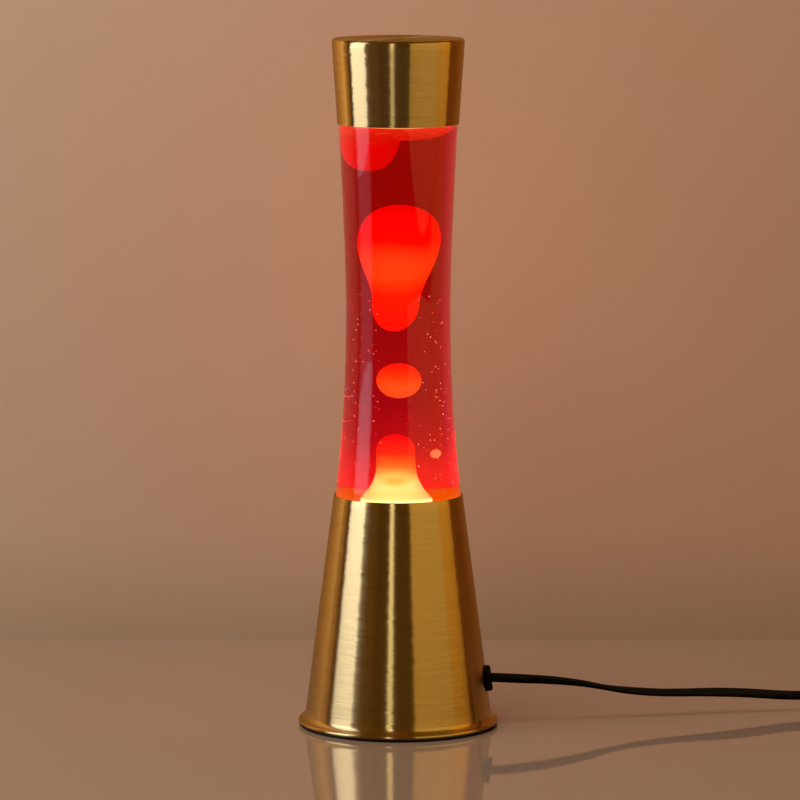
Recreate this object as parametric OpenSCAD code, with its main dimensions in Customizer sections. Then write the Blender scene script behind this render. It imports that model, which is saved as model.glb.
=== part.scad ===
// Liquid motion lamp: a spun metal base and cap with a brass finish, a waisted glass bottle of
// liquid and wax, a reflector lamp under the bottle, and a flat two-core lead with an inline
// switch and a flat two-pin plug. Millimetres, +Z up, origin on the table under the base's axis.

/* [Base] */
// Height of the base's top rim above the table
base_h = 134; // [128:0.5:142]
// Outer radius of the cone at its top rim
base_rim_r = 36.9; // [36:0.1:40]
// Outer radius that the straight cone would have at table level
base_cone_r = 54.4; // [50:0.1:58]
// Distance that the rolled lip stands out past the foot of the cone
lip_out = 3.3; // [2.6:0.1:4]
// Sheet thickness of the base
base_wall = 0.8; // [0.6:0.1:1.2]
// Diameter of the rolled lip
lip_d = 2.6; // [2:0.1:3.2]
// Gap between the table and the lip
lip_gap = 1.2; // [1:0.1:2]
// Radius of the flare above the lip
flare_r = 4; // [3:0.1:5]
// Width of the turned-in flange, from the lip's outer edge
flange_w = 14.7; // [13:0.1:17]
// Sheet thickness of the bottom cover
cover_t = 1; // [0.8:0.1:1.1]
// Width of the foot ring
foot_w = 5; // [3:0.1:6]
// Number of cover screws
cover_screw_count = 4; // [3:1:6]
// Shank radius of a cover screw
cover_screw_r = 1.4; // [1:0.1:1.6]
// Length of a cover screw's shank
cover_screw_l = 7; // [5:0.5:10]
// Number of vent holes in the cover
vent_count = 8; // [4:1:12]
// Radius of a vent hole
vent_r = 4; // [2:0.5:5]

/* [Bottle] */
// Depth that the bottle sinks into the base
bottle_sink = 16; // [12:0.5:20]
// Height of the bottle from its bottom to its shoulder
bottle_h = 237.5; // [230:0.5:245]
// Height of the waist above the bottle's bottom
waist_h = 127; // [115:1:140]
// Outer radius at the waist
waist_r = 29.95; // [28:0.05:32]
// Thickness of the glass
glass_wall = 2.2; // [1.6:0.1:3]
// Thickness of the bottle's bottom
glass_floor = 4; // [3:0.5:6]
// Radius of the bottle's heel
heel_r = 5; // [4:0.5:7]
// Radius of the bottle's shoulder
shoulder_r = 8; // [6:0.5:10]
// Outer radius of the neck
neck_r = 13.2; // [11:0.1:15]
// Height of the neck above the shoulder
neck_h = 20; // [16:0.5:26]
// Width of the seat under the bottle
seat_w = 6; // [5:0.5:8]
// Height of the seat's skirt
seat_skirt = 8; // [6:0.5:12]
// Sheet thickness of the seat
seat_t = 1; // [0.8:0.1:1.5]
// Thickness of the seat's gasket
gasket_t = 2; // [1:0.5:3]

/* [Liquid and wax] */
// Height of the liquid's surface above the bottle's bottom
liquid_h = 229.2; // [224:0.2:229.6]
// Thickness of the wax film on the surface
film_t = 1.4; // [0.8:0.1:2]
// Depth of the wax pool above the glass floor
pool_depth = 10.6; // [9:0.1:14]
// Height of the mound above the pool
mound_h = 36.4; // [25:0.1:40]
// Radius of the mound's dome
mound_r = 8.1; // [6:0.1:10]
// Radius of the mound where it leaves the pool
mound_foot_r = 14.3; // [12:0.1:18]
// Radius of the large blob's head
large_r = 17.7; // [14:0.1:19]
// Radius of the large blob's tail
large_tail_r = 10; // [8:0.1:13]
// Height of the large blob from end to end
large_h = 72.7; // [66:0.1:76]
// Height of the large blob's lower end above the bottle's bottom
large_z = 110.5; // [106:0.5:116]
// Radius of the small blob
small_r = 9.65; // [7:0.05:12]
// Height of the small blob from end to end
small_h = 20.2; // [16:0.2:24]
// Height of the small blob's lower end above the bottle's bottom
small_z = 71.8; // [68:0.2:74]
// Radius of the droplet
droplet_r = 2.45; // [1.5:0.05:3.5]
// Distance of the droplet from the axis
droplet_x = 16; // [14.5:0.5:20]
// Height of the droplet's centre above the bottle's bottom
droplet_z = 39.2; // [34:0.2:46]
// Radius of the drop that hangs from the surface
drop_r = 14.4; // [10:0.1:15]
// Length of the drop that hangs from the surface
drop_h = 25; // [20:0.2:27]
// Distance of the hanging drop from the axis
drop_x = 13.2; // [8:0.1:14]
// Radius of the thick middle of the film, which hangs like a lens
lens_r = 20; // [14:0.5:22]
// Depth of the lens under the film
lens_h = 8; // [5:0.5:10]
// Distance of the lens from the axis
lens_x = 4; // [0:0.5:6]

/* [Cap] */
// Height of the cap
cap_h = 48.5; // [42:0.5:56]
// Outer radius at the cap's open edge
cap_low_r = 34.6; // [34:0.1:37]
// Outer radius at the cap's top
cap_top_r = 37.8; // [37.5:0.1:40]
// Sheet thickness of the cap
cap_wall = 0.5; // [0.4:0.1:0.8]
// Radius of the cap's top edge
cap_edge_r = 1.8; // [1.2:0.1:3]
// Depth of the cap's skirt below the bottle's shoulder
cap_skirt = 9; // [8:0.5:9.5]
// Thickness of the ring inside the cap
cap_insert_t = 3; // [2:0.5:5]

/* [Lamp] */
// Largest radius of the lamp bulb
bulb_r = 19.5; // [16:0.5:21]
// Length of the bulb from its contact to its top
bulb_l = 66; // [60:0.5:68]
// Wall of the bulb's glass
bulb_wall = 0.7; // [0.5:0.1:1]
// Mean radius of the bulb's screw thread
thread_r = 6.45; // [6.2:0.05:6.6]
// Depth of the screw thread
thread_depth = 0.7; // [0.5:0.05:0.8]
// Pitch of the screw thread
thread_pitch = 2.822; // [2.5:0.001:3]
// Turns of thread on the bulb
thread_turns = 5; // [4:1:6]
// Outer radius of the lampholder
holder_r = 13; // [12.5:0.5:15]
// Height of the lampholder's cap
holder_cap_h = 13; // [12:0.5:15]
// Height of the lampholder's body above its cap
holder_body_h = 21; // [19:0.5:23]
// Height of the bracket under the lampholder
bracket_h = 13; // [12:0.5:15]
// Half the span of the bracket between its legs
bracket_span = 16; // [13:0.5:18]
// Width of the bracket
bracket_w = 22; // [18:0.5:26]
// Sheet thickness of the bracket
bracket_t = 1.2; // [1:0.1:1.6]
// Outer radius of the threaded nipple
nipple_r = 5; // [4.8:0.1:5.2]
// Bore radius of the nipple
nipple_bore = 3.5; // [3.3:0.1:3.8]

/* [Lead] */
// Width of the flat lead
cord_w = 5.4; // [5:0.1:5.6]
// Thickness of the flat lead
cord_t = 3.3; // [3:0.1:3.4]
// Height of the gland above the table
gland_z = 26.8; // [26.4:0.1:27.2]
// Turn of the gland about the lamp's axis, towards the front
gland_turn = -2.5; // [-3.5:0.5:-1.5]
// Radius of the gland's head
gland_r = 7; // [6.5:0.1:8]
// Thickness of the gland's head
gland_head = 2.8; // [2.4:0.1:5]
// Radius of the gland's stem
gland_stem_r = 5; // [4.5:0.1:5.5]
// Ribs round the gland's head
gland_ribs = 18; // [12:1:24]
// Radius of a core of the lead
core_r = 0.9; // [0.7:0.05:1]
// Outer radius of the coil's turns, at the middle of the lead
coil_r = 36; // [34:0.5:40]
// Turns in the coil
coil_turns = 7.5; // [5.5:1:7.5]
// Step between the coil's turns
coil_step = 4; // [3.9:0.1:4.4]
// Step between the coil's layers
coil_layer = 6; // [5.9:0.1:6.5]
// Sheet thickness of the coil's ties
tie_t = 0.8; // [0.5:0.1:1]
// Width of the coil's ties
tie_w = 6; // [4:0.5:10]

/* [Switch and plug] */
// Length of the inline switch
switch_l = 60; // [56:1:70]
// Width of the inline switch
switch_w = 26; // [24:0.5:30]
// Height of the inline switch
switch_h = 18; // [18:0.5:22]
// Wall of the switch's shells
switch_wall = 1.8; // [1.4:0.1:2.2]
// Radius of the switch's corners
switch_corner_r = 8; // [6:0.5:10]
// Radius of the rocker about its pivot
rocker_r = 10.6; // [9.5:0.1:12]
// Width of the rocker
rocker_w = 11.4; // [9:0.1:13]
// Tilt of the rocker either way
rocker_tilt = 8; // [6:0.5:10]
// Radius of the rocker's pivot pins
rocker_pin_r = 1.5; // [1.2:0.1:1.8]
// Length of the plug's body
plug_l = 36; // [32:0.5:40]
// Width of the plug's body
plug_w = 35; // [32:0.5:38]
// Thickness of the plug's body
plug_t = 13.7; // [13:0.1:15]
// Radius of a plug pin
pin_r = 2; // [1.8:0.05:2.2]
// Length of a plug pin outside the body
pin_l = 19; // [17:0.5:20]
// Distance between the plug pins
pin_gap = 18.6; // [18:0.1:19.5]

/* [Hidden] */
$fn = 96;

// Clearance between pieces that slide or lift apart
lift_gap = 0.3;
// Clearance between pieces that are fixed together
fit_gap = 0.1;
// Overlap of a cutting shape past the face that it cuts
cut = 1;

brass = [0.72, 0.53, 0.22];
steel = [0.62, 0.63, 0.65];
black = [0.06, 0.06, 0.07];
ceramic = [0.93, 0.92, 0.88];
copper_brass = [0.80, 0.62, 0.30];
clear_glass = [0.86, 0.90, 0.92, 0.35];
red_wax = [0.95, 0.18, 0.08];
red_liquid = [0.75, 0.05, 0.08, 0.4];

// Base: the straight cone, its wall and the rolled lip
cone_slope = (base_cone_r - base_rim_r) / base_h;
cone_angle = atan(cone_slope);
wall_across = base_wall / cos(cone_angle);
function cone_r(z) = base_cone_r - cone_slope * z;
function cone_in_r(z) = cone_r(z) - wall_across;
lip_r = base_cone_r + lip_out;
lip_c_r = lip_r - lip_d / 2;
lip_c_z = lip_gap + lip_d / 2;
flange_z = lip_c_z - base_wall / 2;
flange_top = flange_z + base_wall;

// The flare is an arc that touches the cone and the lip, so its centre solves a quadratic
flare_a = base_cone_r + flare_r / cos(cone_angle) - lip_c_r;
flare_b = cone_slope * flare_a + lip_c_z;
flare_c = pow(flare_a, 2) + pow(lip_c_z, 2) - pow(flare_r + lip_d / 2, 2);
flare_k = 1 + pow(cone_slope, 2);
flare_z = (flare_b + sqrt(pow(flare_b, 2) - flare_k * flare_c)) / flare_k;
flare_c_r = cone_r(flare_z) + flare_r / cos(cone_angle);
flare_turn = atan2(flare_z - lip_c_z, flare_c_r - lip_c_r);

flange_in_r = lip_r - flange_w;
foot_out_r = lip_r - lip_d - lift_gap;
cover_r = foot_out_r - foot_w - lift_gap;
cover_z = flange_z - cover_t;
cover_screw_pcd_r = (cover_r + flange_in_r) / 2;
screw_head_h = cover_z - 0.2;
vent_pcd_r = flange_in_r - vent_r - 3;

// Bottle, standing on the gasket in the base
bottle_z = base_h - bottle_sink;
shoulder_z = bottle_z + bottle_h;
waist_z = bottle_z + waist_h;
cap_z = shoulder_z - cap_skirt;
low_r = cone_in_r(base_h) - lift_gap;
top_r = cap_low_r - cap_wall - lift_gap;
curve_low_z = base_h + 2;
curve_top_z = cap_z - 3;
low_power = 2.2;
top_power = 1.4;
neck_fillet_r = 2;
function bottle_r(z) =
  z <= curve_low_z ? low_r
  : z < waist_z ? waist_r + (low_r - waist_r) * pow((waist_z - z) / (waist_z - curve_low_z), low_power)
  : z < curve_top_z ? waist_r + (top_r - waist_r) * pow((z - waist_z) / (curve_top_z - waist_z), top_power)
  : top_r;
function inner_r(z) = bottle_r(z) - glass_wall;
inner_floor = bottle_z + glass_floor;
inner_heel_r = heel_r - glass_wall / 2;
inner_shoulder = shoulder_z - glass_wall;
inner_shoulder_r = shoulder_r - glass_wall / 2;
neck_top = shoulder_z + neck_h;
neck_bore = neck_r - glass_wall;
curve_steps = 14;
low_heights = [for (i = [0 : curve_steps]) curve_low_z + (waist_z - curve_low_z) * i / curve_steps];
top_heights = [for (i = [1 : curve_steps]) waist_z + (curve_top_z - waist_z) * i / curve_steps];
side_heights = concat(low_heights, top_heights);

crown_t = 0.4;
crown_liner_t = 1;
crown_flutes = 21;
crown_skirt = 6;

// Cap
cap_slope = (cap_top_r - cap_low_r) / (cap_h - cap_edge_r);
function cap_r(h) = cap_low_r + cap_slope * h;

// Seat under the bottle
seat_top = bottle_z - gasket_t;
seat_out_r = low_r - heel_r;
seat_in_r = seat_out_r - seat_w;

// Liquid and wax
liquid_top = bottle_z + liquid_h;
film_z = liquid_top - film_t;
pool_z = inner_floor + pool_depth;
mound_top = pool_z + mound_h;
mound_dome_h = 9;
mound_x = -1;
mound_power = 3.3;
large_x = -0.3;
large_lean = 1.7;
large_low = bottle_z + large_z;
large_tail_h = 16.5;
large_head_h = 21.8;
small_x = 0.3;
small_mid = bottle_z + small_z + small_h / 2;
droplet_mid = bottle_z + droplet_z;
drop_power = 2.5;
blob_steps = 9;

// Wire coil in the wax pool
coil_wire_r = 0.5;
coil_ring_r = seat_in_r - 3;
coil_curl_r = 3.2;
coil_curls = 34;
coil_mid_z = inner_floor + coil_curl_r + coil_wire_r + fit_gap;

// Lamp, holder and bracket, from the cover upwards
holder_z = flange_z + bracket_h;
holder_floor = holder_z + holder_cap_h + 2;
holder_top = holder_z + holder_cap_h + holder_body_h;
thread_gap = 0.35;
sleeve_t = 1.6;
holder_bore = thread_r + thread_depth / 2 + thread_gap + sleeve_t + fit_gap;
sleeve_h = holder_top - holder_floor - 1;
contact_h = 2.6;
tip_z = holder_floor + contact_h + lift_gap;
tip_h = 1.2;
tip_r = 2.5;
insulator_h = 3.9;
screw_z = tip_z + tip_h + insulator_h;
screw_h = thread_turns * thread_pitch;
screw_bore = thread_r - thread_depth / 2 - 0.5;
neck_z = screw_z + screw_h;
bulb_top = tip_z + bulb_l;
bulb_dome_h = 15;
bulb_neck_r = screw_bore - 0.4;
stem_r = 2.8;
stem_top = neck_z + 20;
filament_r = 0.4;
filament_l = 14;
filament_z = stem_top + 8.6;
lead_r = 0.35;
nut_h = 4;
nut_r = 8.5;
rivet_r = 1.5;
bracket_foot = 11;
wire_y = 2.2;
cap_floor_t = 3;
holder_wall = 2;

// Gland and the lead's route. A point is x, y, z and the roll of the flat lead in degrees,
// where 0 stands it on edge and 90 lays it flat.
gland_stem_l = 9;
gland_bore = cord_w / 2 + lift_gap;
gland_rib_r = 0.9;
gland_nut_r = 8;
gland_nut_h = 3.5;
gland_nut_back = base_wall + pow(gland_nut_r, 2) / (2 * cone_in_r(gland_z)) + fit_gap;
gland_dir = [cos(gland_turn) * cos(cone_angle), sin(gland_turn) * cos(cone_angle), sin(cone_angle)];
gland_mid = [cos(gland_turn) * cone_r(gland_z), sin(gland_turn) * cone_r(gland_z), gland_z];
function on_gland(d) = gland_mid + d * gland_dir;
function rolled(p, roll) = [p[0], p[1], p[2], roll];
jacket_end = -gland_stem_l - 5;
lead_points = concat(
  [
    rolled(on_gland(jacket_end), 0), rolled(on_gland(-4), 0), rolled(on_gland(gland_head), 0)
  ],
  [
    [60, -2.5, 27, 2], [66, -1.7, 26.6, 4], [72, -0.4, 26.1, 9], [84, 2.4, 25, 28], [95, 5.2, 23.6, 44],
    [106, 8, 21.8, 59], [117, 10.7, 19.4, 80], [129, 13.3, 17.1, 106], [141, 15.8, 15.5, 117],
    [153, 18.4, 14.4, 121], [164, 21.3, 13.8, 124], [176, 24.3, 13.4, 133], [188, 26.9, 12.9, 152],
    [200, 29.4, 12.1, 165], [211, 31.7, 11.1, 171], [223, 34.1, 9.9, 177], [234, 36.3, 9.2, 180],
    [243, 37.6, 9, 180], [250, 38, 9, 180], [258, 38, 9, 180]
  ]
);
core_start = on_gland(jacket_end - lift_gap);
core_drop = [0, 0, cord_w / 4];
function core_rise(y) = [
  [8, y, 5.4], [3.2, y, 6.3], [0.7, y, 9], [0, y, 12.5], [0, y, holder_z + 9]
];
live_points = concat(
  [core_start + core_drop, [33, -1.5, 25.7], [29, -1.8, 21.8], [25.5, -2, 15.5], [21, -2.2, 9.5]],
  [[15, -wire_y, 6.2]], core_rise(-wire_y)
);
neutral_points = concat(
  [core_start - core_drop, [33, -1.4, 22.8], [29.5, 0.2, 18.8], [26, 1.4, 13], [21, 2.2, 8]],
  [[15, wire_y, 5.8]], core_rise(wire_y)
);

// Coil: it starts and ends straight, spirals in on the lower layer and out on the upper one
switch_mid = [280, 38];
coil_x = 371.4;
coil_y = switch_mid[1] - coil_r;
coil_low_z = 3.8;
coil_rings = 24;
coil_sides = 6;
coil_half = coil_turns / 2;
climb_turns = 0.25;
function ease(t) = let (s = min(1, max(0, t))) s * s * (3 - 2 * s);
function coil_radius(t) = coil_r - coil_step * (t < coil_half ? t : coil_turns - t);
function coil_height(t) = coil_low_z + coil_layer * ease((t - coil_half + climb_turns) / (2 * climb_turns));
function coil_point(t) = let (a = 90 - 360 * t)
  [coil_x + coil_radius(t) * cos(a), coil_y + coil_radius(t) * sin(a), coil_height(t), 0];
coil_count = coil_turns * coil_rings;
coil_out = coil_point(coil_turns);
coil_points = concat(
  [[coil_x - cord_w, coil_y + coil_r, coil_low_z, 0]],
  [for (i = [0 : coil_count]) coil_point(i / coil_rings)],
  [[coil_x - cord_w, coil_out[1], coil_out[2], 0]]
);

// Switch and plug, on the table beyond the lead
switch_split = 9;
switch_mouth_r = cord_w / 2 + lift_gap;
rocker_z = switch_h - 3.5;
rocker_slot = rocker_r + 0.5;
switch_post_r = 3;
switch_screw_r = 1.2;
terminal_h = 7.4;
plug_tail = [344, coil_out[1]];
plug_mid_z = plug_t / 2;
plug_face_x = plug_tail[0] - plug_l;
pin_sleeve_l = 10;
pin_depth = 14;
pin_core_r = pin_r - 0.35;
mid_points = [
  [302, 38, 9, 180], [310, 38, 9, 180], [318, 38, 8.8, 180], [330, 38, 7.6, 180],
  [342, 38, 5.9, 180], [352, 38, 4.5, 180], [coil_x - 2 * cord_w, 38, coil_low_z, 180],
  [coil_x - cord_w, 38, coil_low_z, 180]
];
end_drop = coil_out[2] - plug_mid_z;
end_points = [
  for (p = [[coil_x - cord_w, 0], [coil_x - 2 * cord_w, 0], [356, 0.17], [352, 0.51], [348, 0.83],
            [plug_tail[0], 1], [plug_tail[0] - 4.5, 1]])
    [p[0], coil_out[1], coil_out[2] - end_drop * p[1], 0]
];

function arc(cx, cy, r, from, to, steps) =
  [for (i = [0 : steps]) let (a = from + (to - from) * i / steps) [cx + r * cos(a), cy + r * sin(a)]];
function unit(v) = v / norm(v);
function place(p) = [p[0], p[1], p[2]];
function tangent(points, i) =
  unit(place(points[min(i + 1, len(points) - 1)]) - place(points[max(i - 1, 0)]));

// One ring of a flat tube: width w across its roll, thickness t
function ring(points, i, w, t, sides) =
  let (
    along = tangent(points, i),
    side = unit(cross(along, abs(along[2]) > 0.9 ? [-1, 0, 0] : [0, 0, 1])),
    up = cross(side, along),
    roll = len(points[i]) > 3 ? points[i][3] : 0,
    wide = cos(roll) * up + sin(roll) * side,
    thin = cos(roll) * side - sin(roll) * up
  )
  [for (k = [0 : sides - 1]) let (a = 360 * (k + 0.5) / sides)
    place(points[i]) + w / 2 * cos(a) * wide + t / 2 * sin(a) * thin];

// A closed tube of triangles along points
module flat_tube(points, w, t, sides) {
  count = len(points);
  rings = [for (i = [0 : count - 1]) each ring(points, i, w, t, sides)];
  last = (count - 1) * sides;
  walls = [
    for (i = [0 : count - 2], k = [0 : sides - 1])
      let (a = i * sides + k, b = i * sides + (k + 1) % sides)
        each [[a, b, a + sides], [b, b + sides, a + sides]]
  ];
  ends = [for (k = [1 : sides - 2]) each [[0, k + 1, k], [last, last + k, last + k + 1]]];
  polyhedron(points = rings, faces = concat(walls, ends), convexity = 10);
}

// Least distance between rings of a tube that lie more than half a turn apart
function tube_gap(points, w, t, sides, apart, near) =
  let (rings = [for (i = [0 : len(points) - 1]) ring(points, i, w, t, sides)])
  min([
    for (i = [0 : len(points) - 1], j = [i + apart : 1 : len(points) - 1])
      if (norm(place(points[i]) - place(points[j])) < near)
        min([for (a = rings[i], b = rings[j]) norm(a - b)])
  ]);

// A wall with a rounded screw thread on one side: rings of points that follow the helix
module threaded_wall(mean_r, plain_r, z0, height) {
  around = 24;
  levels = ceil(height / thread_pitch * 6);
  function wave(a, z) = mean_r + thread_depth / 2 * cos(360 * (z - screw_z) / thread_pitch - a);
  thread = [
    for (i = [0 : levels], k = [0 : around - 1])
      let (a = 360 * k / around, z = z0 + height * i / levels, r = wave(a, z))
        [r * cos(a), r * sin(a), z]
  ];
  plain = [
    for (z = [z0, z0 + height], k = [0 : around - 1])
      let (a = 360 * k / around) [plain_r * cos(a), plain_r * sin(a), z]
  ];
  first = (levels + 1) * around;
  out = plain_r < mean_r;
  function quad(a, b, c, d) = out ? [[a, c, b], [b, c, d]] : [[a, b, c], [b, d, c]];
  faces = [
    for (k = [0 : around - 1]) let (n = (k + 1) % around)
      each concat(
        [for (i = [0 : levels - 1])
          each quad(i * around + k, i * around + n, (i + 1) * around + k, (i + 1) * around + n)],
        quad(first + n, first + k, first + around + n, first + around + k),
        quad(first + k, first + n, k, n),
        quad(levels * around + k, levels * around + n, first + around + k, first + around + n)
      )
  ];
  polyhedron(points = concat(thread, plain), faces = faces, convexity = 10);
}

module gland_frame() {
  translate(gland_mid) rotate([0, 0, gland_turn]) rotate([0, 90 - cone_angle, 0]) children();
}

module round_ring(outer, inner, z0, z1) {
  translate([0, 0, z0]) difference() {
    cylinder(r = outer, h = z1 - z0);
    translate([0, 0, -cut]) cylinder(r = inner, h = z1 - z0 + 2 * cut);
  }
}

module base_shell() {
  rim_z = base_h - base_wall / 2;
  rim_r = cone_r(rim_z) - wall_across / 2;
  lip_from = 180 + asin(base_wall / lip_d);
  outline = concat(
    [[flange_in_r, flange_z]],
    arc(lip_c_r, lip_c_z, lip_d / 2, lip_from, 360 + flare_turn, 14),
    arc(flare_c_r, flare_z, flare_r, 180 + flare_turn, 180 + cone_angle, 8),
    arc(rim_r, rim_z, base_wall / 2, cone_angle, 180 + cone_angle, 6),
    [[cone_in_r(flange_top), flange_top], [flange_in_r, flange_top]]
  );
  color(brass) difference() {
    rotate_extrude() polygon(outline);
    gland_frame() translate([0, 0, -10]) cylinder(r = gland_stem_r + fit_gap, h = 20);
    at_cover_screws() translate([0, 0, -cut]) cylinder(r = cover_screw_r + fit_gap, h = flange_top + 2 * cut);
  }
}

module at_cover_screws() {
  for (i = [0 : cover_screw_count - 1])
    rotate([0, 0, 45 + 360 * i / cover_screw_count]) translate([cover_screw_pcd_r, 0, 0]) children();
}

module foot_ring() {
  color(black) round_ring(foot_out_r, foot_out_r - foot_w, 0, flange_z);
}

module bottom_cover() {
  color(steel) difference() {
    translate([0, 0, cover_z]) cylinder(r = cover_r, h = cover_t);
    at_cover_screws() cylinder(r = cover_screw_r + lift_gap, h = flange_top);
    at_bracket_rivets() cylinder(r = rivet_r + fit_gap, h = flange_top);
    for (i = [0 : vent_count - 1])
      rotate([0, 0, 360 * (i + 0.5) / vent_count]) translate([vent_pcd_r, 0, 0])
        cylinder(r = vent_r, h = flange_top);
  }
}

module cover_screws() {
  color(steel) at_cover_screws() {
    translate([0, 0, cover_z - screw_head_h]) cylinder(r = cover_screw_r + 1.2, h = screw_head_h);
    translate([0, 0, cover_z]) cylinder(r = cover_screw_r, h = cover_screw_l);
  }
}

module bottle_seat() {
  skirt_z = seat_top - seat_skirt;
  function skirt_r(z) = cone_in_r(z) - fit_gap;
  outline = [
    [seat_in_r, seat_top], [seat_in_r, seat_top - seat_t],
    [skirt_r(seat_top - seat_t) - seat_t, seat_top - seat_t], [skirt_r(skirt_z) - seat_t, skirt_z],
    [skirt_r(skirt_z), skirt_z], [skirt_r(seat_top), seat_top]
  ];
  color(steel) rotate_extrude() polygon(outline);
}

module seat_gasket() {
  color(black) round_ring(seat_out_r, seat_in_r + 0.5, seat_top, bottle_z);
}

module at_bracket_rivets() {
  for (s = [-1, 1]) translate([0, s * (bracket_span + bracket_foot / 2 + 1), 0]) children();
}

module holder_bracket() {
  top = bracket_h;
  t = bracket_t;
  half = [
    [bracket_span, top], [bracket_span, t], [bracket_span + bracket_foot, t],
    [bracket_span + bracket_foot, 0], [bracket_span - t, 0], [bracket_span - t, top - t]
  ];
  other = [for (i = [len(half) - 1 : -1 : 0]) [-half[i][0], half[i][1]]];
  color(steel) difference() {
    translate([-bracket_w / 2, 0, flange_z]) rotate([90, 0, 90])
      linear_extrude(height = bracket_w) polygon(concat(half, other));
    translate([0, 0, holder_z - bracket_t - cut]) cylinder(r = nipple_r + fit_gap, h = bracket_t + 2 * cut);
    at_bracket_rivets() cylinder(r = rivet_r + fit_gap, h = holder_z - 2 * bracket_t);
  }
}

module bracket_rivets() {
  color(steel) at_bracket_rivets() {
    translate([0, 0, cover_z - screw_head_h]) cylinder(r = rivet_r + 1.2, h = screw_head_h);
    translate([0, 0, cover_z]) cylinder(r = rivet_r, h = cover_t + bracket_t);
    translate([0, 0, flange_z + bracket_t]) cylinder(r = rivet_r + 1.2, h = 1);
  }
}

module holder_nipple() {
  color(steel) round_ring(nipple_r, nipple_bore, holder_z - bracket_t - nut_h - 1, holder_z + cap_floor_t);
}

module holder_nut() {
  color(steel) translate([0, 0, holder_z - bracket_t - nut_h]) difference() {
    cylinder(r = nut_r, h = nut_h, $fn = 6);
    translate([0, 0, -cut]) cylinder(r = nipple_r + fit_gap, h = nut_h + 2 * cut);
  }
}

module holder_cap() {
  color(black) difference() {
    translate([0, 0, holder_z]) cylinder(r = holder_r, h = holder_cap_h);
    translate([0, 0, holder_z + cap_floor_t]) cylinder(r = holder_r - holder_wall, h = holder_cap_h);
    translate([0, 0, holder_z - cut]) cylinder(r = nipple_r + fit_gap, h = cap_floor_t + 2 * cut);
  }
}

module holder_body() {
  rim = holder_z + holder_cap_h;
  floor_low = holder_floor - 4;
  color(ceramic) difference() {
    union() {
      translate([0, 0, rim]) cylinder(r = holder_r, h = holder_body_h);
      translate([0, 0, floor_low]) cylinder(r = holder_r - holder_wall - fit_gap, h = rim - floor_low + cut);
    }
    translate([0, 0, holder_floor]) cylinder(r = holder_bore, h = holder_body_h + cut);
  }
}

module holder_sleeve() {
  color(copper_brass)
    threaded_wall(thread_r + thread_gap, holder_bore - fit_gap, holder_floor, sleeve_h);
}

module holder_contact() {
  t = 0.6;
  strip = [
    [-5, 0], [3, 0], [3.4, t], [-1.6, contact_h], [-3.2, contact_h], [-3.2, contact_h - t],
    [1.2, t], [-5, t]
  ];
  color(copper_brass) translate([0, 2, holder_floor]) rotate([90, 0, 0])
    linear_extrude(height = 4) polygon(strip);
}

module holder_terminals() {
  low = holder_floor - 4 - 5;
  color(copper_brass) for (s = [-1, 1]) difference() {
    translate([-3, s > 0 ? 0.9 : -5.7, low]) cube([6, 4.8, 5]);
    translate([0, s * wire_y, low - cut]) cylinder(r = core_r + fit_gap, h = 5);
  }
}

module live_wire() {
  color([0.45, 0.25, 0.12]) flat_tube(live_points, 2 * core_r, 2 * core_r, 8);
}

module neutral_wire() {
  color([0.12, 0.25, 0.6]) flat_tube(neutral_points, 2 * core_r, 2 * core_r, 8);
}

module cord_gland() {
  color(black) gland_frame() difference() {
    union() {
      translate([0, 0, -gland_stem_l]) cylinder(r = gland_stem_r, h = gland_stem_l + cut);
      translate([0, 0, fit_gap]) cylinder(r = gland_r, h = gland_head - fit_gap);
      for (i = [0 : gland_ribs - 1])
        rotate([0, 0, 360 * i / gland_ribs]) translate([gland_r - 0.3, 0, fit_gap])
          cylinder(r = gland_rib_r, h = gland_head - 0.8, $fn = 16);
    }
    translate([0, 0, -gland_stem_l - cut]) cylinder(r = gland_bore, h = gland_stem_l + gland_head + 2 * cut);
  }
}

module gland_nut() {
  color(black) gland_frame() translate([0, 0, -gland_nut_back - gland_nut_h]) difference() {
    cylinder(r = gland_nut_r, h = gland_nut_h, $fn = 6);
    translate([0, 0, -cut]) cylinder(r = gland_stem_r + fit_gap, h = gland_nut_h + 2 * cut);
  }
}

module cord_lead() {
  color(black) flat_tube(lead_points, cord_w, cord_t, 8);
}

module cord_mid() {
  color(black) flat_tube(mid_points, cord_w, cord_t, 8);
}

module cord_end() {
  color(black) flat_tube(end_points, cord_w, cord_t, 8);
}

module cord_coil() {
  echo(coil_gap = tube_gap(coil_points, cord_w, cord_t, coil_sides, floor(coil_rings / 2), 2 * cord_w));
  color(black) flat_tube(coil_points, cord_w, cord_t, coil_sides);
}

module coil_ties() {
  inner = coil_r - coil_step * coil_half - cord_t / 2 - lift_gap;
  outer = coil_r + cord_t / 2 + lift_gap;
  top = coil_low_z + coil_layer + cord_w / 2 + lift_gap;
  color(black) for (a = [0, 180])
    translate([coil_x, coil_y, 0]) rotate([0, 0, a]) difference() {
      translate([inner - tie_t, -tie_w / 2, 0]) cube([outer - inner + 2 * tie_t, tie_w, top + tie_t]);
      translate([inner, -tie_w / 2 - cut, tie_t]) cube([outer - inner, tie_w + 2 * cut, top - tie_t]);
    }
}

module switch_outline(grow) {
  l = switch_l / 2 + grow;
  w = switch_w / 2 + grow;
  r = switch_corner_r + grow;
  polygon(concat(
    arc(l - r, w - r, r, 0, 90, 8), arc(r - l, w - r, r, 90, 180, 8),
    arc(r - l, r - w, r, 180, 270, 8), arc(l - r, r - w, r, 270, 360, 8)
  ));
}

module at_switch() {
  translate([switch_mid[0], switch_mid[1], 0]) children();
}

module at_switch_screws() {
  for (s = [-1, 1]) translate([s * (switch_l / 2 - 11), s * (switch_w / 2 - 5), 0]) children();
}

module switch_mouth() {
  translate([-switch_l / 2 - cut, 0, switch_split]) rotate([0, 90, 0])
    cylinder(r = switch_mouth_r, h = switch_l + 2 * cut);
}

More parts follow.
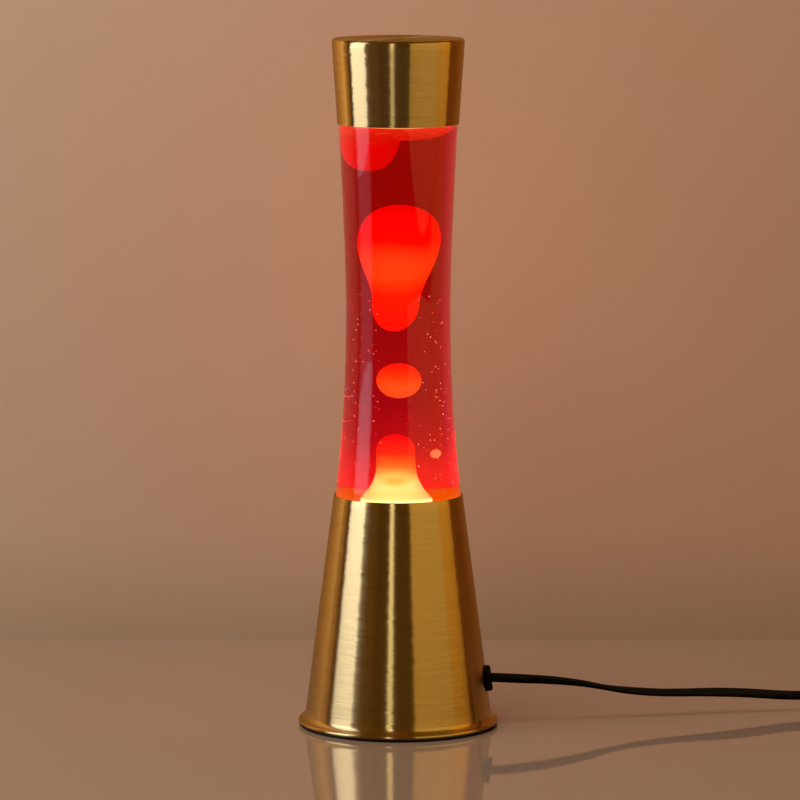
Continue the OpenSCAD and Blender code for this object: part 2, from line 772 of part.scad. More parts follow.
module switch_base() {
  color(black) at_switch() difference() {
    union() {
      difference() {
        linear_extrude(height = switch_split) switch_outline(0);
        translate([0, 0, switch_wall]) linear_extrude(height = switch_split) switch_outline(-switch_wall);
      }
      at_switch_screws() cylinder(r = switch_post_r, h = switch_split);
    }
    switch_mouth();
    at_switch_screws() translate([0, 0, -cut])
      cylinder(r = switch_screw_r + fit_gap, h = switch_split + 2 * cut);
    at_switch_screws() translate([0, 0, -cut]) cylinder(r = switch_screw_r + 1.1, h = cut + 2);
  }
}

module switch_top() {
  lug_w = 2.4;
  lug_y = rocker_w / 2 + lift_gap;
  color(black) at_switch() difference() {
    union() {
      difference() {
        translate([0, 0, switch_split]) linear_extrude(height = switch_h - switch_split) switch_outline(0);
        translate([0, 0, switch_split - cut])
          linear_extrude(height = switch_h - switch_split - switch_wall + cut) switch_outline(-switch_wall);
      }
      at_switch_screws() translate([0, 0, switch_split])
        cylinder(r = switch_post_r, h = switch_h - switch_split - 1);
      for (s = [-1, 1])
        translate([-3.2, s > 0 ? lug_y : -lug_y - lug_w, rocker_z - 3.2])
          cube([6.4, lug_w, switch_h - rocker_z + 3.2 - switch_wall / 2]);
    }
    translate([-rocker_slot, -lug_y, switch_h - switch_wall - cut])
      cube([2 * rocker_slot, 2 * lug_y, switch_wall + 2 * cut]);
    translate([0, lug_y + lug_w + cut, rocker_z]) rotate([90, 0, 0])
      cylinder(r = rocker_pin_r + 0.08, h = 2 * (lug_y + lug_w + cut));
    switch_mouth();
    at_switch_screws() translate([0, 0, switch_split - cut])
      cylinder(r = switch_screw_r + fit_gap, h = 5 + cut);
  }
}

module switch_screws() {
  color(steel) at_switch() at_switch_screws() {
    translate([0, 0, 0.6]) cylinder(r = switch_screw_r + 0.9, h = 1.4);
    translate([0, 0, 1.9]) cylinder(r = switch_screw_r, h = switch_split + 2);
  }
}

module at_rocker() {
  at_switch() translate([0, 0, rocker_z]) rotate([0, rocker_tilt, 0]) children();
}

module switch_rocker() {
  rise = switch_h - rocker_z + 2.2;
  rim = asin(rise / rocker_r);
  skirt = -3;
  face = concat(
    [[0, rise - 1.4]], arc(0, 0, rocker_r, rim, asin(skirt / rocker_r), 8),
    [[2.5, skirt], [-2.5, skirt]], arc(0, 0, rocker_r, 180 - asin(skirt / rocker_r), 180 - rim, 8)
  );
  pin_reach = rocker_w / 2 + lift_gap + 2;
  color(black) at_rocker() union() {
    translate([0, rocker_w / 2, 0]) rotate([90, 0, 0]) linear_extrude(height = rocker_w) polygon(face);
    translate([0, pin_reach, 0]) rotate([90, 0, 0]) cylinder(r = rocker_pin_r, h = 2 * pin_reach);
  }
}

module switch_bridge() {
  color(copper_brass) at_rocker() translate([-10, -2, -3.6]) cube([20, 4, 0.6]);
}

module switch_terminals() {
  color(copper_brass) at_switch() for (s = [-1, 1])
    translate([s * 9 - 3, -2.5, switch_wall]) cube([6, 5, terminal_h]);
}

module switch_through_wire() {
  color([0.12, 0.25, 0.6]) at_switch()
    translate([-switch_l / 2 + 9, -4, switch_wall + core_r + fit_gap]) rotate([0, 90, 0])
      cylinder(r = core_r, h = switch_l - 18);
}

module plug_body() {
  half_w = plug_w / 2;
  x = plug_face_x;
  r = 3;
  outline = concat(
    arc(x + r, half_w - r, r, 180, 90, 5), arc(x + plug_l * 0.42, half_w - 6, 6, 90, 45, 5),
    [[plug_tail[0], 5], [plug_tail[0], -5]],
    arc(x + plug_l * 0.42, 6 - half_w, 6, -45, -90, 5), arc(x + r, r - half_w, r, 270, 180, 5)
  );
  side = concat(
    arc(x + 2, plug_t - 2, 2, 180, 90, 4), [[x + plug_l * 0.5, plug_t], [plug_tail[0], plug_t / 2 + 4.5]],
    [[plug_tail[0], plug_t / 2 - 4.5], [x + plug_l * 0.5, 0]], arc(x + 2, 2, 2, 270, 180, 4)
  );
  color(black) difference() {
    intersection() {
      translate([0, plug_tail[1], 0]) linear_extrude(height = plug_t) polygon(outline);
      translate([0, plug_tail[1] + plug_w, 0]) rotate([90, 0, 0])
        linear_extrude(height = 2 * plug_w) polygon(side);
    }
    at_pins() translate([0, 0, -pin_depth - fit_gap])
      cylinder(r = pin_r + fit_gap, h = pin_depth + fit_gap + cut);
    translate([plug_tail[0] - 5 - fit_gap, plug_tail[1], plug_mid_z]) rotate([0, 90, 0])
      cylinder(r = gland_bore, h = 6 + fit_gap);
  }
}

module at_pins() {
  for (s = [-1, 1])
    translate([plug_face_x, plug_tail[1] + s * pin_gap / 2, plug_mid_z]) rotate([0, -90, 0]) children();
}

module plug_pins() {
  color(copper_brass) at_pins() {
    translate([0, 0, -pin_depth]) cylinder(r = pin_core_r, h = pin_depth + pin_sleeve_l + 0.2);
    translate([0, 0, pin_sleeve_l]) cylinder(r = pin_r, h = pin_l - pin_sleeve_l - 1);
    translate([0, 0, pin_l - 1]) cylinder(r1 = pin_r, r2 = pin_r - 0.8, h = 1);
  }
}

module plug_pin_sleeves() {
  color(black) at_pins() translate([0, 0, -pin_depth]) difference() {
    cylinder(r = pin_r, h = pin_depth + pin_sleeve_l);
    translate([0, 0, -cut]) cylinder(r = pin_core_r + 0.02, h = pin_depth + pin_sleeve_l + 2 * cut);
  }
}

module bulb_contact() {
  color(steel) translate([0, 0, tip_z]) cylinder(r = tip_r, h = tip_h);
}

module bulb_insulator() {
  color(black) translate([0, 0, tip_z + tip_h])
    cylinder(r1 = tip_r + 0.3, r2 = thread_r - thread_depth / 2, h = insulator_h);
}

module bulb_screw_shell() {
  color(steel) threaded_wall(thread_r, screw_bore, screw_z, screw_h);
}

function bulb_flare(r0, r1, z0, z1) =
  [for (i = [0 : 10]) let (t = i / 10) [r0 + (r1 - r0) * pow(sin(90 * t), 1.1), z0 + (z1 - z0) * t]];

module bulb_envelope() {
  wide_z = bulb_top - bulb_dome_h;
  foot_r = thread_r;
  function dome(r, h) = [for (i = [1 : 9]) [r * cos(10 * i), wide_z + h * sin(10 * i)]];
  seal_z = neck_z - 7;
  outer = concat(
    [[bulb_neck_r, seal_z], [bulb_neck_r, neck_z]],
    bulb_flare(foot_r, bulb_r, neck_z, wide_z), dome(bulb_r, bulb_dome_h)
  );
  inner = concat(
    [[bulb_neck_r - bulb_wall, seal_z]],
    bulb_flare(bulb_neck_r - bulb_wall, bulb_r - bulb_wall, neck_z + bulb_wall, wide_z),
    dome(bulb_r - bulb_wall, bulb_dome_h - bulb_wall)
  );
  color(clear_glass) rotate_extrude()
    polygon(concat(outer, [for (i = [len(inner) - 1 : -1 : 0]) inner[i]]));
}

module bulb_stem() {
  seal_z = neck_z - 7;
  color(clear_glass) {
    translate([0, 0, seal_z - 1.5]) cylinder(r = bulb_neck_r, h = 1.5);
    translate([0, 0, seal_z - 0.5]) cylinder(r = stem_r, h = stem_top - seal_z + 0.5);
  }
}

module bulb_leads() {
  reach = filament_l / 2 - 1;
  drop = filament_z - filament_r - fit_gap - stem_top - lift_gap;
  lean = atan((reach - stem_r / 2) / drop);
  color(copper_brass) for (s = [-1, 1])
    translate([s * stem_r / 2, 0, stem_top + lift_gap]) rotate([0, s * lean, 0])
      cylinder(r = lead_r, h = drop / cos(lean) - lead_r);
}

module bulb_filament() {
  color(steel) translate([-filament_l / 2, 0, filament_z]) rotate([0, 90, 0])
    cylinder(r = filament_r, h = filament_l);
}

module bottle_glass() {
  flat_r = neck_r + neck_fillet_r;
  outer = concat(
    [[0, bottle_z]], arc(low_r - heel_r, bottle_z + heel_r, heel_r, -90, 0, 6),
    [for (z = side_heights) [bottle_r(z), z]],
    arc(top_r - shoulder_r, shoulder_z - shoulder_r, shoulder_r, 0, 90, 8),
    arc(flat_r, shoulder_z + neck_fillet_r, neck_fillet_r, 270, 180, 4),
    [[neck_r, neck_top], [neck_bore, neck_top]]
  );
  inner = concat(
    [[neck_bore, inner_shoulder]],
    arc(top_r - glass_wall - inner_shoulder_r, inner_shoulder - inner_shoulder_r, inner_shoulder_r, 90, 0, 8),
    [for (i = [len(side_heights) - 1 : -1 : 0]) [inner_r(side_heights[i]), side_heights[i]]],
    arc(low_r - glass_wall - inner_heel_r, inner_floor + inner_heel_r, inner_heel_r, 0, -90, 6),
    [[0, inner_floor]]
  );
  color(clear_glass) rotate_extrude() polygon(concat(outer, inner));
}

module crown_cap() {
  r = neck_r + lift_gap;
  top = neck_top + crown_liner_t + crown_t;
  color(copper_brass) {
    round_ring(r + crown_t, r, top - crown_skirt, top - crown_t);
    translate([0, 0, top - crown_t]) cylinder(r = r + crown_t, h = crown_t);
    for (i = [0 : crown_flutes - 1])
      rotate([0, 0, 360 * i / crown_flutes]) translate([r + crown_t, 0, top - crown_skirt])
        intersection() {
          cylinder(r1 = 1.3, r2 = 0.2, h = crown_skirt - 1, $fn = 24);
          translate([-crown_t / 2, -2, 0]) cube([3, 4, crown_skirt]);
        }
  }
}

module crown_liner() {
  color(ceramic) translate([0, 0, neck_top]) cylinder(r = neck_r, h = crown_liner_t);
}

// The wire coil: a spring laid round the bottle's floor, as one open helix about a circle
module wire_coil() {
  steps = coil_curls * 8;
  points = [
    for (i = [0 : steps])
      let (a = 350 * i / steps, b = 360 * i / 8, r = coil_ring_r + coil_curl_r * cos(b))
        [r * cos(a), r * sin(a), coil_mid_z + coil_curl_r * sin(b)]
  ];
  wire_d = 2 * coil_wire_r;
  echo(wire_gap = tube_gap(points, wire_d, wire_d, 6, 5, 2 * coil_curl_r));
  color(steel) flat_tube(points, wire_d, wire_d, 6);
}

module mound(grow) {
  bend_z = mound_top - mound_dome_h;
  foot = [
    for (i = [0 : blob_steps]) let (t = 1 - i / blob_steps)
      [mound_r + grow + (mound_foot_r - mound_r) * pow(t, mound_power), bend_z - (bend_z - pool_z) * t]
  ];
  dome = [for (i = [1 : blob_steps]) let (a = 90 * i / blob_steps)
    [(mound_r + grow) * cos(a), bend_z + (mound_dome_h + grow) * sin(a)]];
  translate([mound_x, 0, 0]) rotate_extrude()
    polygon(concat([[0, pool_z - cut], [mound_foot_r + grow, pool_z - cut]], foot, dome));
}

module wax_pool() {
  corner_r = inner_heel_r;
  wall_r = low_r - glass_wall - fit_gap;
  outline = concat(
    [[0, inner_floor + fit_gap]],
    arc(wall_r - corner_r, inner_floor + fit_gap + corner_r, corner_r, -90, 0, 6),
    [[wall_r, pool_z], [0, pool_z]]
  );
  groove_r = coil_curl_r + coil_wire_r + lift_gap;
  groove = concat(
    [[coil_ring_r + groove_r, inner_floor - cut]], arc(coil_ring_r, coil_mid_z, groove_r, 0, 180, 12),
    [[coil_ring_r - groove_r, inner_floor - cut]]
  );
  color(red_wax) difference() {
    union() {
      rotate_extrude() polygon(outline);
      mound(0);
    }
    rotate_extrude() polygon(groove);
  }
}

// Lower half of a round body with its flat top on the film, full like a box as the power grows
module hanging(x, r, h, power) {
  side = [for (i = [0 : blob_steps]) let (a = 90 * i / blob_steps)
    [r * pow(cos(a), 2 / power), film_z - h * pow(sin(a), 2 / power)]];
  translate([x, 0, 0]) rotate_extrude()
    polygon(concat([[0, film_z + film_t / 2], [r, film_z + film_t / 2]], side));
}

module drop(grow) {
  hanging(-drop_x, drop_r + grow, drop_h + grow, drop_power);
}

module lens(grow) {
  hanging(lens_x, lens_r + grow, lens_h + grow, 2);
}

module wax_top() {
  color(red_wax) union() {
    translate([0, 0, film_z]) cylinder(r = inner_r(film_z) - lift_gap, h = film_t);
    lens(0);
    drop(0);
  }
}

module large_blob(grow) {
  head_z = large_low + large_h - large_head_h;
  tail_z = large_low + large_tail_h;
  tail = [for (i = [0 : blob_steps - 1]) let (a = -90 + 90 * i / blob_steps)
    [(large_tail_r + grow) * cos(a), tail_z + (large_tail_h + grow) * sin(a)]];
  body = [for (i = [0 : blob_steps]) let (t = i / blob_steps)
    [large_tail_r + grow + (large_r - large_tail_r) * ease(t), tail_z + (head_z - tail_z) * t]];
  head = [for (i = [1 : blob_steps]) let (a = 90 * i / blob_steps)
    [(large_r + grow) * cos(a), head_z + (large_head_h + grow) * sin(a)]];
  middle = (tail_z + head_z) / 2;
  translate([large_x, 0, middle]) rotate([0, large_lean, 0]) translate([0, 0, -middle])
    rotate_extrude() polygon(concat(tail, body, head));
}

module small_blob(grow) {
  steps = 2 * blob_steps;
  outline = [for (i = [0 : steps]) let (a = -90 + 180 * i / steps)
    [(small_r + grow) * cos(a), small_mid + (small_h / 2 + grow) * sin(a)]];
  translate([small_x, 0, 0]) rotate_extrude() polygon(outline);
}

module droplet(grow) {
  translate([droplet_x, 0, droplet_mid]) sphere(r = droplet_r + grow);
}

module wax_large_blob() {
  color(red_wax) large_blob(0);
}

module wax_small_blob() {
  color(red_wax) small_blob(0);
}

module wax_droplet() {
  color(red_wax) droplet(0);
}

module liquid() {
  heights = [for (z = side_heights) if (z > pool_z + 1 && z < film_z - 1) z];
  outline = concat(
    [[0, pool_z], [inner_r(pool_z) - fit_gap, pool_z]],
    [for (z = heights) [inner_r(z) - fit_gap, z]],
    [[inner_r(film_z) - fit_gap, film_z], [0, film_z]]
  );
  color(red_liquid) difference() {
    rotate_extrude() polygon(outline);
    mound(fit_gap);
    lens(fit_gap);
    drop(fit_gap);
    large_blob(lift_gap);
    small_blob(lift_gap);
    droplet(lift_gap);
  }
}

module cap_shell() {
  edge_z = cap_h - cap_edge_r;
  outer = concat([[cap_low_r, 0]], arc(cap_top_r - cap_edge_r, edge_z, cap_edge_r, 0, 90, 6), [[0, cap_h]]);
  in_edge = cap_edge_r - cap_wall;
  inner = concat(
    [[0, cap_h - cap_wall]], arc(cap_top_r - cap_edge_r, edge_z, in_edge, 90, 0, 6),
    [[cap_low_r - cap_wall, 0]]
  );
  color(brass) translate([0, 0, cap_z]) rotate_extrude() polygon(concat(outer, inner));
}

module cap_insert() {
  out_r = cap_r(cap_skirt) - cap_wall - fit_gap;
  in_r = neck_r + neck_fillet_r + lift_gap;
  color(black) round_ring(out_r, in_r, shoulder_z, shoulder_z + cap_insert_t);
}

base_shell();
foot_ring();
bottom_cover();
cover_screws();
bottle_seat();
seat_gasket();
holder_bracket();
bracket_rivets();
holder_nipple();
holder_nut();
holder_cap();
holder_body();
holder_sleeve();
holder_contact();
holder_terminals();
live_wire();
neutral_wire();
cord_gland();
gland_nut();
cord_lead();
cord_mid();
cord_coil();
cord_end();
coil_ties();
switch_base();
switch_top();
switch_terminals();
switch_through_wire();
switch_screws();
switch_rocker();
switch_bridge();
plug_body();
plug_pins();
plug_pin_sleeves();
bulb_contact();
bulb_envelope();
bulb_screw_shell();
bulb_insulator();
bulb_stem();
bulb_leads();
bulb_filament();
bottle_glass();
crown_cap();
crown_liner();
wire_coil();
wax_pool();
wax_top();
liquid();
wax_large_blob();
wax_small_blob();
wax_droplet();
cap_shell();
cap_insert();
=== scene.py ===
import math

import bmesh
import bpy
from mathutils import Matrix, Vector, noise


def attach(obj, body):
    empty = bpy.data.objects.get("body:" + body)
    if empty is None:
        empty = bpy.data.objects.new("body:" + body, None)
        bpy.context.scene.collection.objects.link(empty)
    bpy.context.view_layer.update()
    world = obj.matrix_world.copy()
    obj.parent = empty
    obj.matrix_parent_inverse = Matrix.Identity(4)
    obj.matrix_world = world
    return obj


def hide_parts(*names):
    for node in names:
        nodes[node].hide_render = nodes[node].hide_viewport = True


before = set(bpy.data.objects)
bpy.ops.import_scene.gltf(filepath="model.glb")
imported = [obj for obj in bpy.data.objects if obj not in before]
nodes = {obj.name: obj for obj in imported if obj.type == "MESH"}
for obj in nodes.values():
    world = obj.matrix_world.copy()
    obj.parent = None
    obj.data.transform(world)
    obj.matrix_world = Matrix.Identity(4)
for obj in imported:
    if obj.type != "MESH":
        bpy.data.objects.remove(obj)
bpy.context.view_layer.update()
mm = 0.001
scene = bpy.context.scene
scene.view_settings.view_transform = "Standard"
print("frame:", len(nodes), "nodes")


def addObject(name, data):
    obj = bpy.data.objects.new(name, data)
    scene.collection.objects.link(obj)
    return obj


# camera, fitted to the picture's rows for the cap, the rim and the foot
shot = {
    "distance": 2.7, "height": 0.54, "aside": 0.001, "pitch": 7.4245, "farthest": 50,
    "focalPixels": 4755.76, "framePixels": 800, "sensor": 36,
}


def makeCamera():
    data = bpy.data.cameras.new("shotCamera")
    data.sensor_width = shot["sensor"]
    data.lens = shot["sensor"] * shot["focalPixels"] / shot["framePixels"]
    data.clip_end = shot["farthest"]
    camera = addObject("shotCamera", data)
    camera.location = (shot["aside"], -shot["distance"], shot["height"])
    camera.rotation_euler = (math.radians(90 - shot["pitch"]), 0, 0)
    scene.camera = camera


makeCamera()
print("camera: lens", round(scene.camera.data.lens, 1), "mm")


# mesh helpers
def arc(midX, midY, radius, start, end, steps):
    angles = [math.radians(start + (end - start) * i / steps) for i in range(steps + 1)]
    return [(midX + radius * math.cos(angle), midY + radius * math.sin(angle)) for angle in angles]


# points of an oval with its middle on the axis, at angles in degrees; a power under 1 makes it fuller
def oval(radius, half, middle, angles, power=1):
    turns = [math.radians(angle) for angle in angles]
    return [(radius * math.cos(turn) ** power, middle + half * math.sin(turn) ** power) for turn in turns]


def spread(low, high, steps):
    return [low + (high - low) * i / steps for i in range(steps + 1)]


# points between two corners of an outline, without the corners
def straight(start, end, steps):
    return list(zip(spread(start[0], end[0], steps), spread(start[1], end[1], steps)))[1:-1]


def ease(value):
    share = min(1, max(0, value))
    return share * share * (3 - 2 * share)


def shadeByAngle(mesh, degrees):
    mesh.polygons.foreach_set("use_smooth", [True] * len(mesh.polygons))
    mesh.set_sharp_from_angle(angle=math.radians(degrees))


def asObject(name, work):
    mesh = bpy.data.meshes.new(name)
    work.to_mesh(mesh)
    work.free()
    return addObject(name, mesh)


# the meshes of several objects in one, without the objects
def gathered(pieces):
    work = bmesh.new()
    for piece in pieces:
        work.from_mesh(piece.data)
        bpy.data.objects.remove(piece)
    return work


# keep the mesh that the modifiers make, without the modifiers
def keepShape(obj, sharp):
    shape = bpy.data.meshes.new_from_object(obj.evaluated_get(bpy.context.evaluated_depsgraph_get()))
    obj.modifiers.clear()
    obj.data = shape
    shape.name = obj.name
    shadeByAngle(shape, sharp)


# spin an outline of (radius, height) in millimetres round the axis through centre; radius 0 is one point
def lathe(name, outline, segments=160, centre=(0, 0), sharp=35):
    work = bmesh.new()
    turns = [2 * math.pi * i / segments for i in range(segments)]
    rings = []
    for radius, height in outline:
        ring = []
        for turn in turns if radius else turns[:1]:
            x, y = centre[0] + radius * math.cos(turn), centre[1] + radius * math.sin(turn)
            ring.append(work.verts.new((x * mm, y * mm, height * mm)))
        rings.append(ring)
    pairs = list(zip(rings, rings[1:]))
    if len(rings[0]) > 1 and len(rings[-1]) > 1:
        pairs.append((rings[-1], rings[0]))
    for low, high in pairs:
        for here in range(segments):
            after = (here + 1) % segments
            if len(low) == 1:
                work.faces.new((low[0], high[after], high[here]))
            elif len(high) == 1:
                work.faces.new((low[here], low[after], high[0]))
            else:
                work.faces.new((low[here], low[after], high[after], high[here]))
    bmesh.ops.recalc_face_normals(work, faces=work.faces[:])
    obj = asObject(name, work)
    shadeByAngle(obj.data, sharp)
    return obj


# lead: the route repeats the part's points, in millimetres, with the roll of the flat lead
lead = {
    "width": 5.4, "thickness": 3.3, "sides": 20, "step": 2.5, "fullness": 2.5, "sharp": 50,
    "glandMid": (50.85, -2.22, 26.8), "glandDir": (0.9906, -0.0433, 0.1295),
    "jacketEnd": -14, "inGland": -4, "glandHead": 2.8,
    "route": [
        (60, -2.5, 27, 2), (66, -1.7, 26.6, 4), (72, -0.4, 26.1, 9), (84, 2.4, 25, 28), (95, 5.2, 23.6, 44),
        (106, 8, 21.8, 59), (117, 10.7, 19.4, 80), (129, 13.3, 17.1, 106), (141, 15.8, 15.5, 117),
        (153, 18.4, 14.4, 121), (164, 21.3, 13.8, 124), (176, 24.3, 13.4, 133), (188, 26.9, 12.9, 152),
        (200, 29.4, 12.1, 165), (211, 31.7, 11.1, 171), (223, 34.1, 9.9, 177), (234, 36.3, 9.2, 180),
        (243, 37.6, 9, 180), (250, 38, 9, 180), (258, 38, 9, 180),
    ],
    "switchOut": [
        (302, 38, 9, 180), (310, 38, 9, 180), (318, 38, 8.8, 180), (330, 38, 7.6, 180),
        (342, 38, 5.9, 180), (352, 38, 4.5, 180), (360.6, 38, 3.8, 180), (366, 38, 3.8, 180),
    ],
    "plugIn": [
        (366, -34, 9.8, 180), (360.6, -34, 9.8, 180), (356, -34, 9.3, 180), (352, -34, 8.3, 180),
        (348, -34, 7.35, 180), (344, -34, 6.85, 180), (339.5, -34, 6.85, 180),
    ],
    "coilMid": (371.4, 2), "coilRadius": 36, "coilStep": 4, "coilLow": 3.8, "coilLayer": 6,
    "coilTurns": 7.5, "climbTurns": 0.25, "coilRings": 48,
}


def alongGland(reach):
    return tuple(middle + reach * way for middle, way in zip(lead["glandMid"], lead["glandDir"]))


def leadRoute():
    start = [alongGland(lead[place]) + (0,) for place in ("jacketEnd", "inGland", "glandHead")]
    return start + lead["route"]


# the coil spirals in on the lower layer and out on the upper one
def coilRoute():
    turns, half, climb = lead["coilTurns"], lead["coilTurns"] / 2, lead["climbTurns"]
    midX, midY = lead["coilMid"]
    points = []
    for i in range(int(turns * lead["coilRings"]) + 1):
        turn = i / lead["coilRings"]
        angle = math.radians(90 - 360 * turn)
        radius = lead["coilRadius"] - lead["coilStep"] * min(turn, turns - turn)
        height = lead["coilLow"] + lead["coilLayer"] * ease((turn - half + climb) / (2 * climb))
        points.append((midX + radius * math.cos(angle), midY + radius * math.sin(angle), height, 180))
    return points


# a smooth line through the points, every step millimetres
def smoothRoute(points, step):
    spots = [Vector(point) for point in points[:1] + points + points[-1:]]
    line = []
    for before, start, end, after in zip(spots, spots[1:], spots[2:], spots[3:]):
        count = max(1, round((end - start).to_3d().length / step))
        for i in range(count):
            share = i / count
            bend = 2 * before - 5 * start + 4 * end - after
            twist = 3 * start - before - 3 * end + after
            line.append(0.5 * (2 * start + (end - before) * share + bend * share * share
                               + twist * share ** 3))
    return line + [spots[-1]]


# flat two-core lead: an oval swept along the route, with its own map along and around
def flatTube(name, route):
    work = bmesh.new()
    layer = work.loops.layers.uv.new("leadMap")
    sides, power = lead["sides"], 2 / lead["fullness"]
    section = []
    for i in range(sides):
        angle = 2 * math.pi * i / sides
        parts = (math.cos(angle), math.sin(angle))
        section.append([math.copysign(abs(part) ** power, part) for part in parts])
    rings = []
    lengths = [0]
    for i, point in enumerate(route):
        along = (route[min(i + 1, len(route) - 1)] - route[max(i - 1, 0)]).to_3d().normalized()
        side = along.cross(Vector((0, 0, 1))).normalized()
        up = side.cross(along)
        roll = math.radians(point[3])
        wide = (math.cos(roll) * up + math.sin(roll) * side) * lead["width"] / 2
        thin = (math.cos(roll) * side - math.sin(roll) * up) * lead["thickness"] / 2
        if i:
            lengths.append(lengths[-1] + (point - route[i - 1]).to_3d().length)
        middle = point.to_3d()
        rings.append([work.verts.new((middle + broad * wide + deep * thin) * mm) for broad, deep in section])
    for i, (ring, following) in enumerate(zip(rings, rings[1:])):
        for here in range(sides):
            after = (here + 1) % sides
            face = work.faces.new((ring[here], ring[after], following[after], following[here]))
            corners = ((here, i), (here + 1, i), (here + 1, i + 1), (here, i + 1))
            for loop, (around, row) in zip(face.loops, corners):
                loop[layer].uv = (around / sides, lengths[row] * mm)
    work.faces.new(rings[0])
    work.faces.new(rings[-1][::-1])
    bmesh.ops.recalc_face_normals(work, faces=work.faces[:])
    obj = asObject(name, work)
    shadeByAngle(obj.data, lead["sharp"])
    return obj, lengths[-1] * mm


def makeLead():
    toSwitch = smoothRoute(leadRoute(), lead["step"])
    first, firstLength = flatTube("leadToSwitch", toSwitch)
    toPlug = smoothRoute(lead["switchOut"] + coilRoute() + lead["plugIn"], lead["step"])
    second, secondLength = flatTube("leadToPlug", toPlug)
    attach(first, "base")
    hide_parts("cord_lead")
    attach(second, "base")
    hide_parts("cord_mid", "cord_coil", "cord_end")
    print("lead:", round(firstLength, 3), "m to the switch,", round(secondLength, 3), "m to the plug")
    return first, second


leadFirst, leadSecond = makeLead()


# node helpers: an input takes a plain value, or a link from another node's output
def feed(socket, value):
    if isinstance(value, bpy.types.NodeSocket):
        socket.id_data.links.new(value, socket)
    else:
        socket.default_value = value


def setSockets(node, values):
    for key, value in values.items():
        feed(node.inputs[key], value)


def addNode(tree, kind, values=None, **settings):
    node = tree.nodes.new(kind)
    for key, value in settings.items():
        setattr(node, key, value)
    setSockets(node, values or {})
    return node


def newMaterial(name):
    material = bpy.data.materials.new(name)
    material.use_nodes = True
    tree = material.node_tree
    return material, tree, tree.nodes["Principled BSDF"]


def ramp(tree, source, stops):
    node = addNode(tree, "ShaderNodeValToRGB", {"Fac": source})
    elements = node.color_ramp.elements
    while len(elements) < len(stops):
        elements.new(0.5)
    for element, (place, colour) in zip(elements, stops):
        element.position = place
        element.color = (*colour, 1)
    return node.outputs["Color"]


def remap(tree, source, low, high, start=0, end=1):
    values = {"Value": source, "From Min": start, "From Max": end, "To Min": low, "To Max": high}
    return addNode(tree, "ShaderNodeMapRange", values).outputs["Result"]


def arithmetic(tree, operation, *values):
    return addNode(tree, "ShaderNodeMath", dict(enumerate(values)), operation=operation).outputs[0]


def vectorMath(tree, operation, *values):
    node = addNode(tree, "ShaderNodeVectorMath", dict(enumerate(values)), operation=operation)
    return node.outputs["Vector"]


def objectPlace(tree):
    return addNode(tree, "ShaderNodeTexCoord").outputs["Object"]


def splitPlace(tree, place):
    return addNode(tree, "ShaderNodeSeparateXYZ", {"Vector": place}).outputs


def joined(tree, *parts):
    return addNode(tree, "ShaderNodeCombineXYZ", dict(enumerate(parts))).outputs["Vector"]


def aroundAxis(tree):
    return addNode(tree, "ShaderNodeTangent", direction_type="RADIAL", axis="Z").outputs["Tangent"]


# share of the way across between two places along X, in metres
def acrossShare(tree, start, end):
    return remap(tree, splitPlace(tree, objectPlace(tree))["X"], 0, 1, start, end)


# sockets 0, 6 and 7 and output 2 are the ones that a mix of colours uses
def mixColour(tree, share, first, second, blend="MIX"):
    values = {0: share}
    for place, colour in ((6, first), (7, second)):
        values[place] = (*colour, 1) if isinstance(colour, tuple) else colour
    return addNode(tree, "ShaderNodeMix", values, data_type="RGBA", blend_type=blend).outputs[2]


def multiplied(tree, first, second):
    return mixColour(tree, 1, first, second, "MULTIPLY")


def scaled(colour, factor):
    return tuple(part * factor for part in colour)


def bump(tree, source, shader, strength, distance, normal=None):
    values = {"Strength": strength, "Distance": distance, "Height": source}
    if normal:
        values["Normal"] = normal
    raised = addNode(tree, "ShaderNodeBump", values).outputs["Normal"]
    feed(shader.inputs["Normal"], raised)
    return raised


def newGroup(name, inputs, outputs, kind="NodeSocketFloat"):
    group = bpy.data.node_groups.new(name, "ShaderNodeTree")
    face = group.interface
    for label, value in inputs.items():
        face.new_socket(label, in_out="INPUT", socket_type="NodeSocketFloat").default_value = value
    for label in outputs:
        face.new_socket(label, in_out="OUTPUT", socket_type=kind)
    return group, group.nodes.new("NodeGroupInput").outputs, group.nodes.new("NodeGroupOutput").inputs


def useGroup(tree, group, values):
    return addNode(tree, "ShaderNodeGroup", values, node_tree=group).outputs


# noise drawn out into lines round the axis: long across, short up and down
def lineNoise(group, ins, detail):
    scale = joined(group, ins["Across"], ins["Across"], ins["Upright"])
    drawn = vectorMath(group, "MULTIPLY", objectPlace(group), scale)
    values = {"Vector": drawn, "Scale": 1, "Detail": detail, "Roughness": 0.65}
    return addNode(group, "ShaderNodeTexNoise", values).outputs["Fac"]


# lines that a lathe or a brush leaves, from the middle of the noise's range
def makeTurnedLines():
    group, ins, outs = newGroup("turnedLines", {"Across": 12, "Upright": 2600}, ["Lines"])
    feed(outs["Lines"], remap(group, lineNoise(group, ins, 3), 0, 1, 0.3, 0.7))
    return group


# each brushed line leans a little to one side, which frays the edges of what the metal mirrors
def makeLineLean():
    sizes = {"Across": 25, "Upright": 1300, "Amount": 0.05}
    group, ins, outs = newGroup("lineLean", sizes, ["Normal"], "NodeSocketVector")
    centred = arithmetic(group, "SUBTRACT", lineNoise(group, ins, 0), 0.5)
    lean = arithmetic(group, "MULTIPLY", centred, ins["Amount"])
    push = vectorMath(group, "MULTIPLY", aroundAxis(group), lean)
    normal = addNode(group, "ShaderNodeNewGeometry").outputs["Normal"]
    feed(outs["Normal"], vectorMath(group, "NORMALIZE", vectorMath(group, "ADD", normal, push)))
    return group


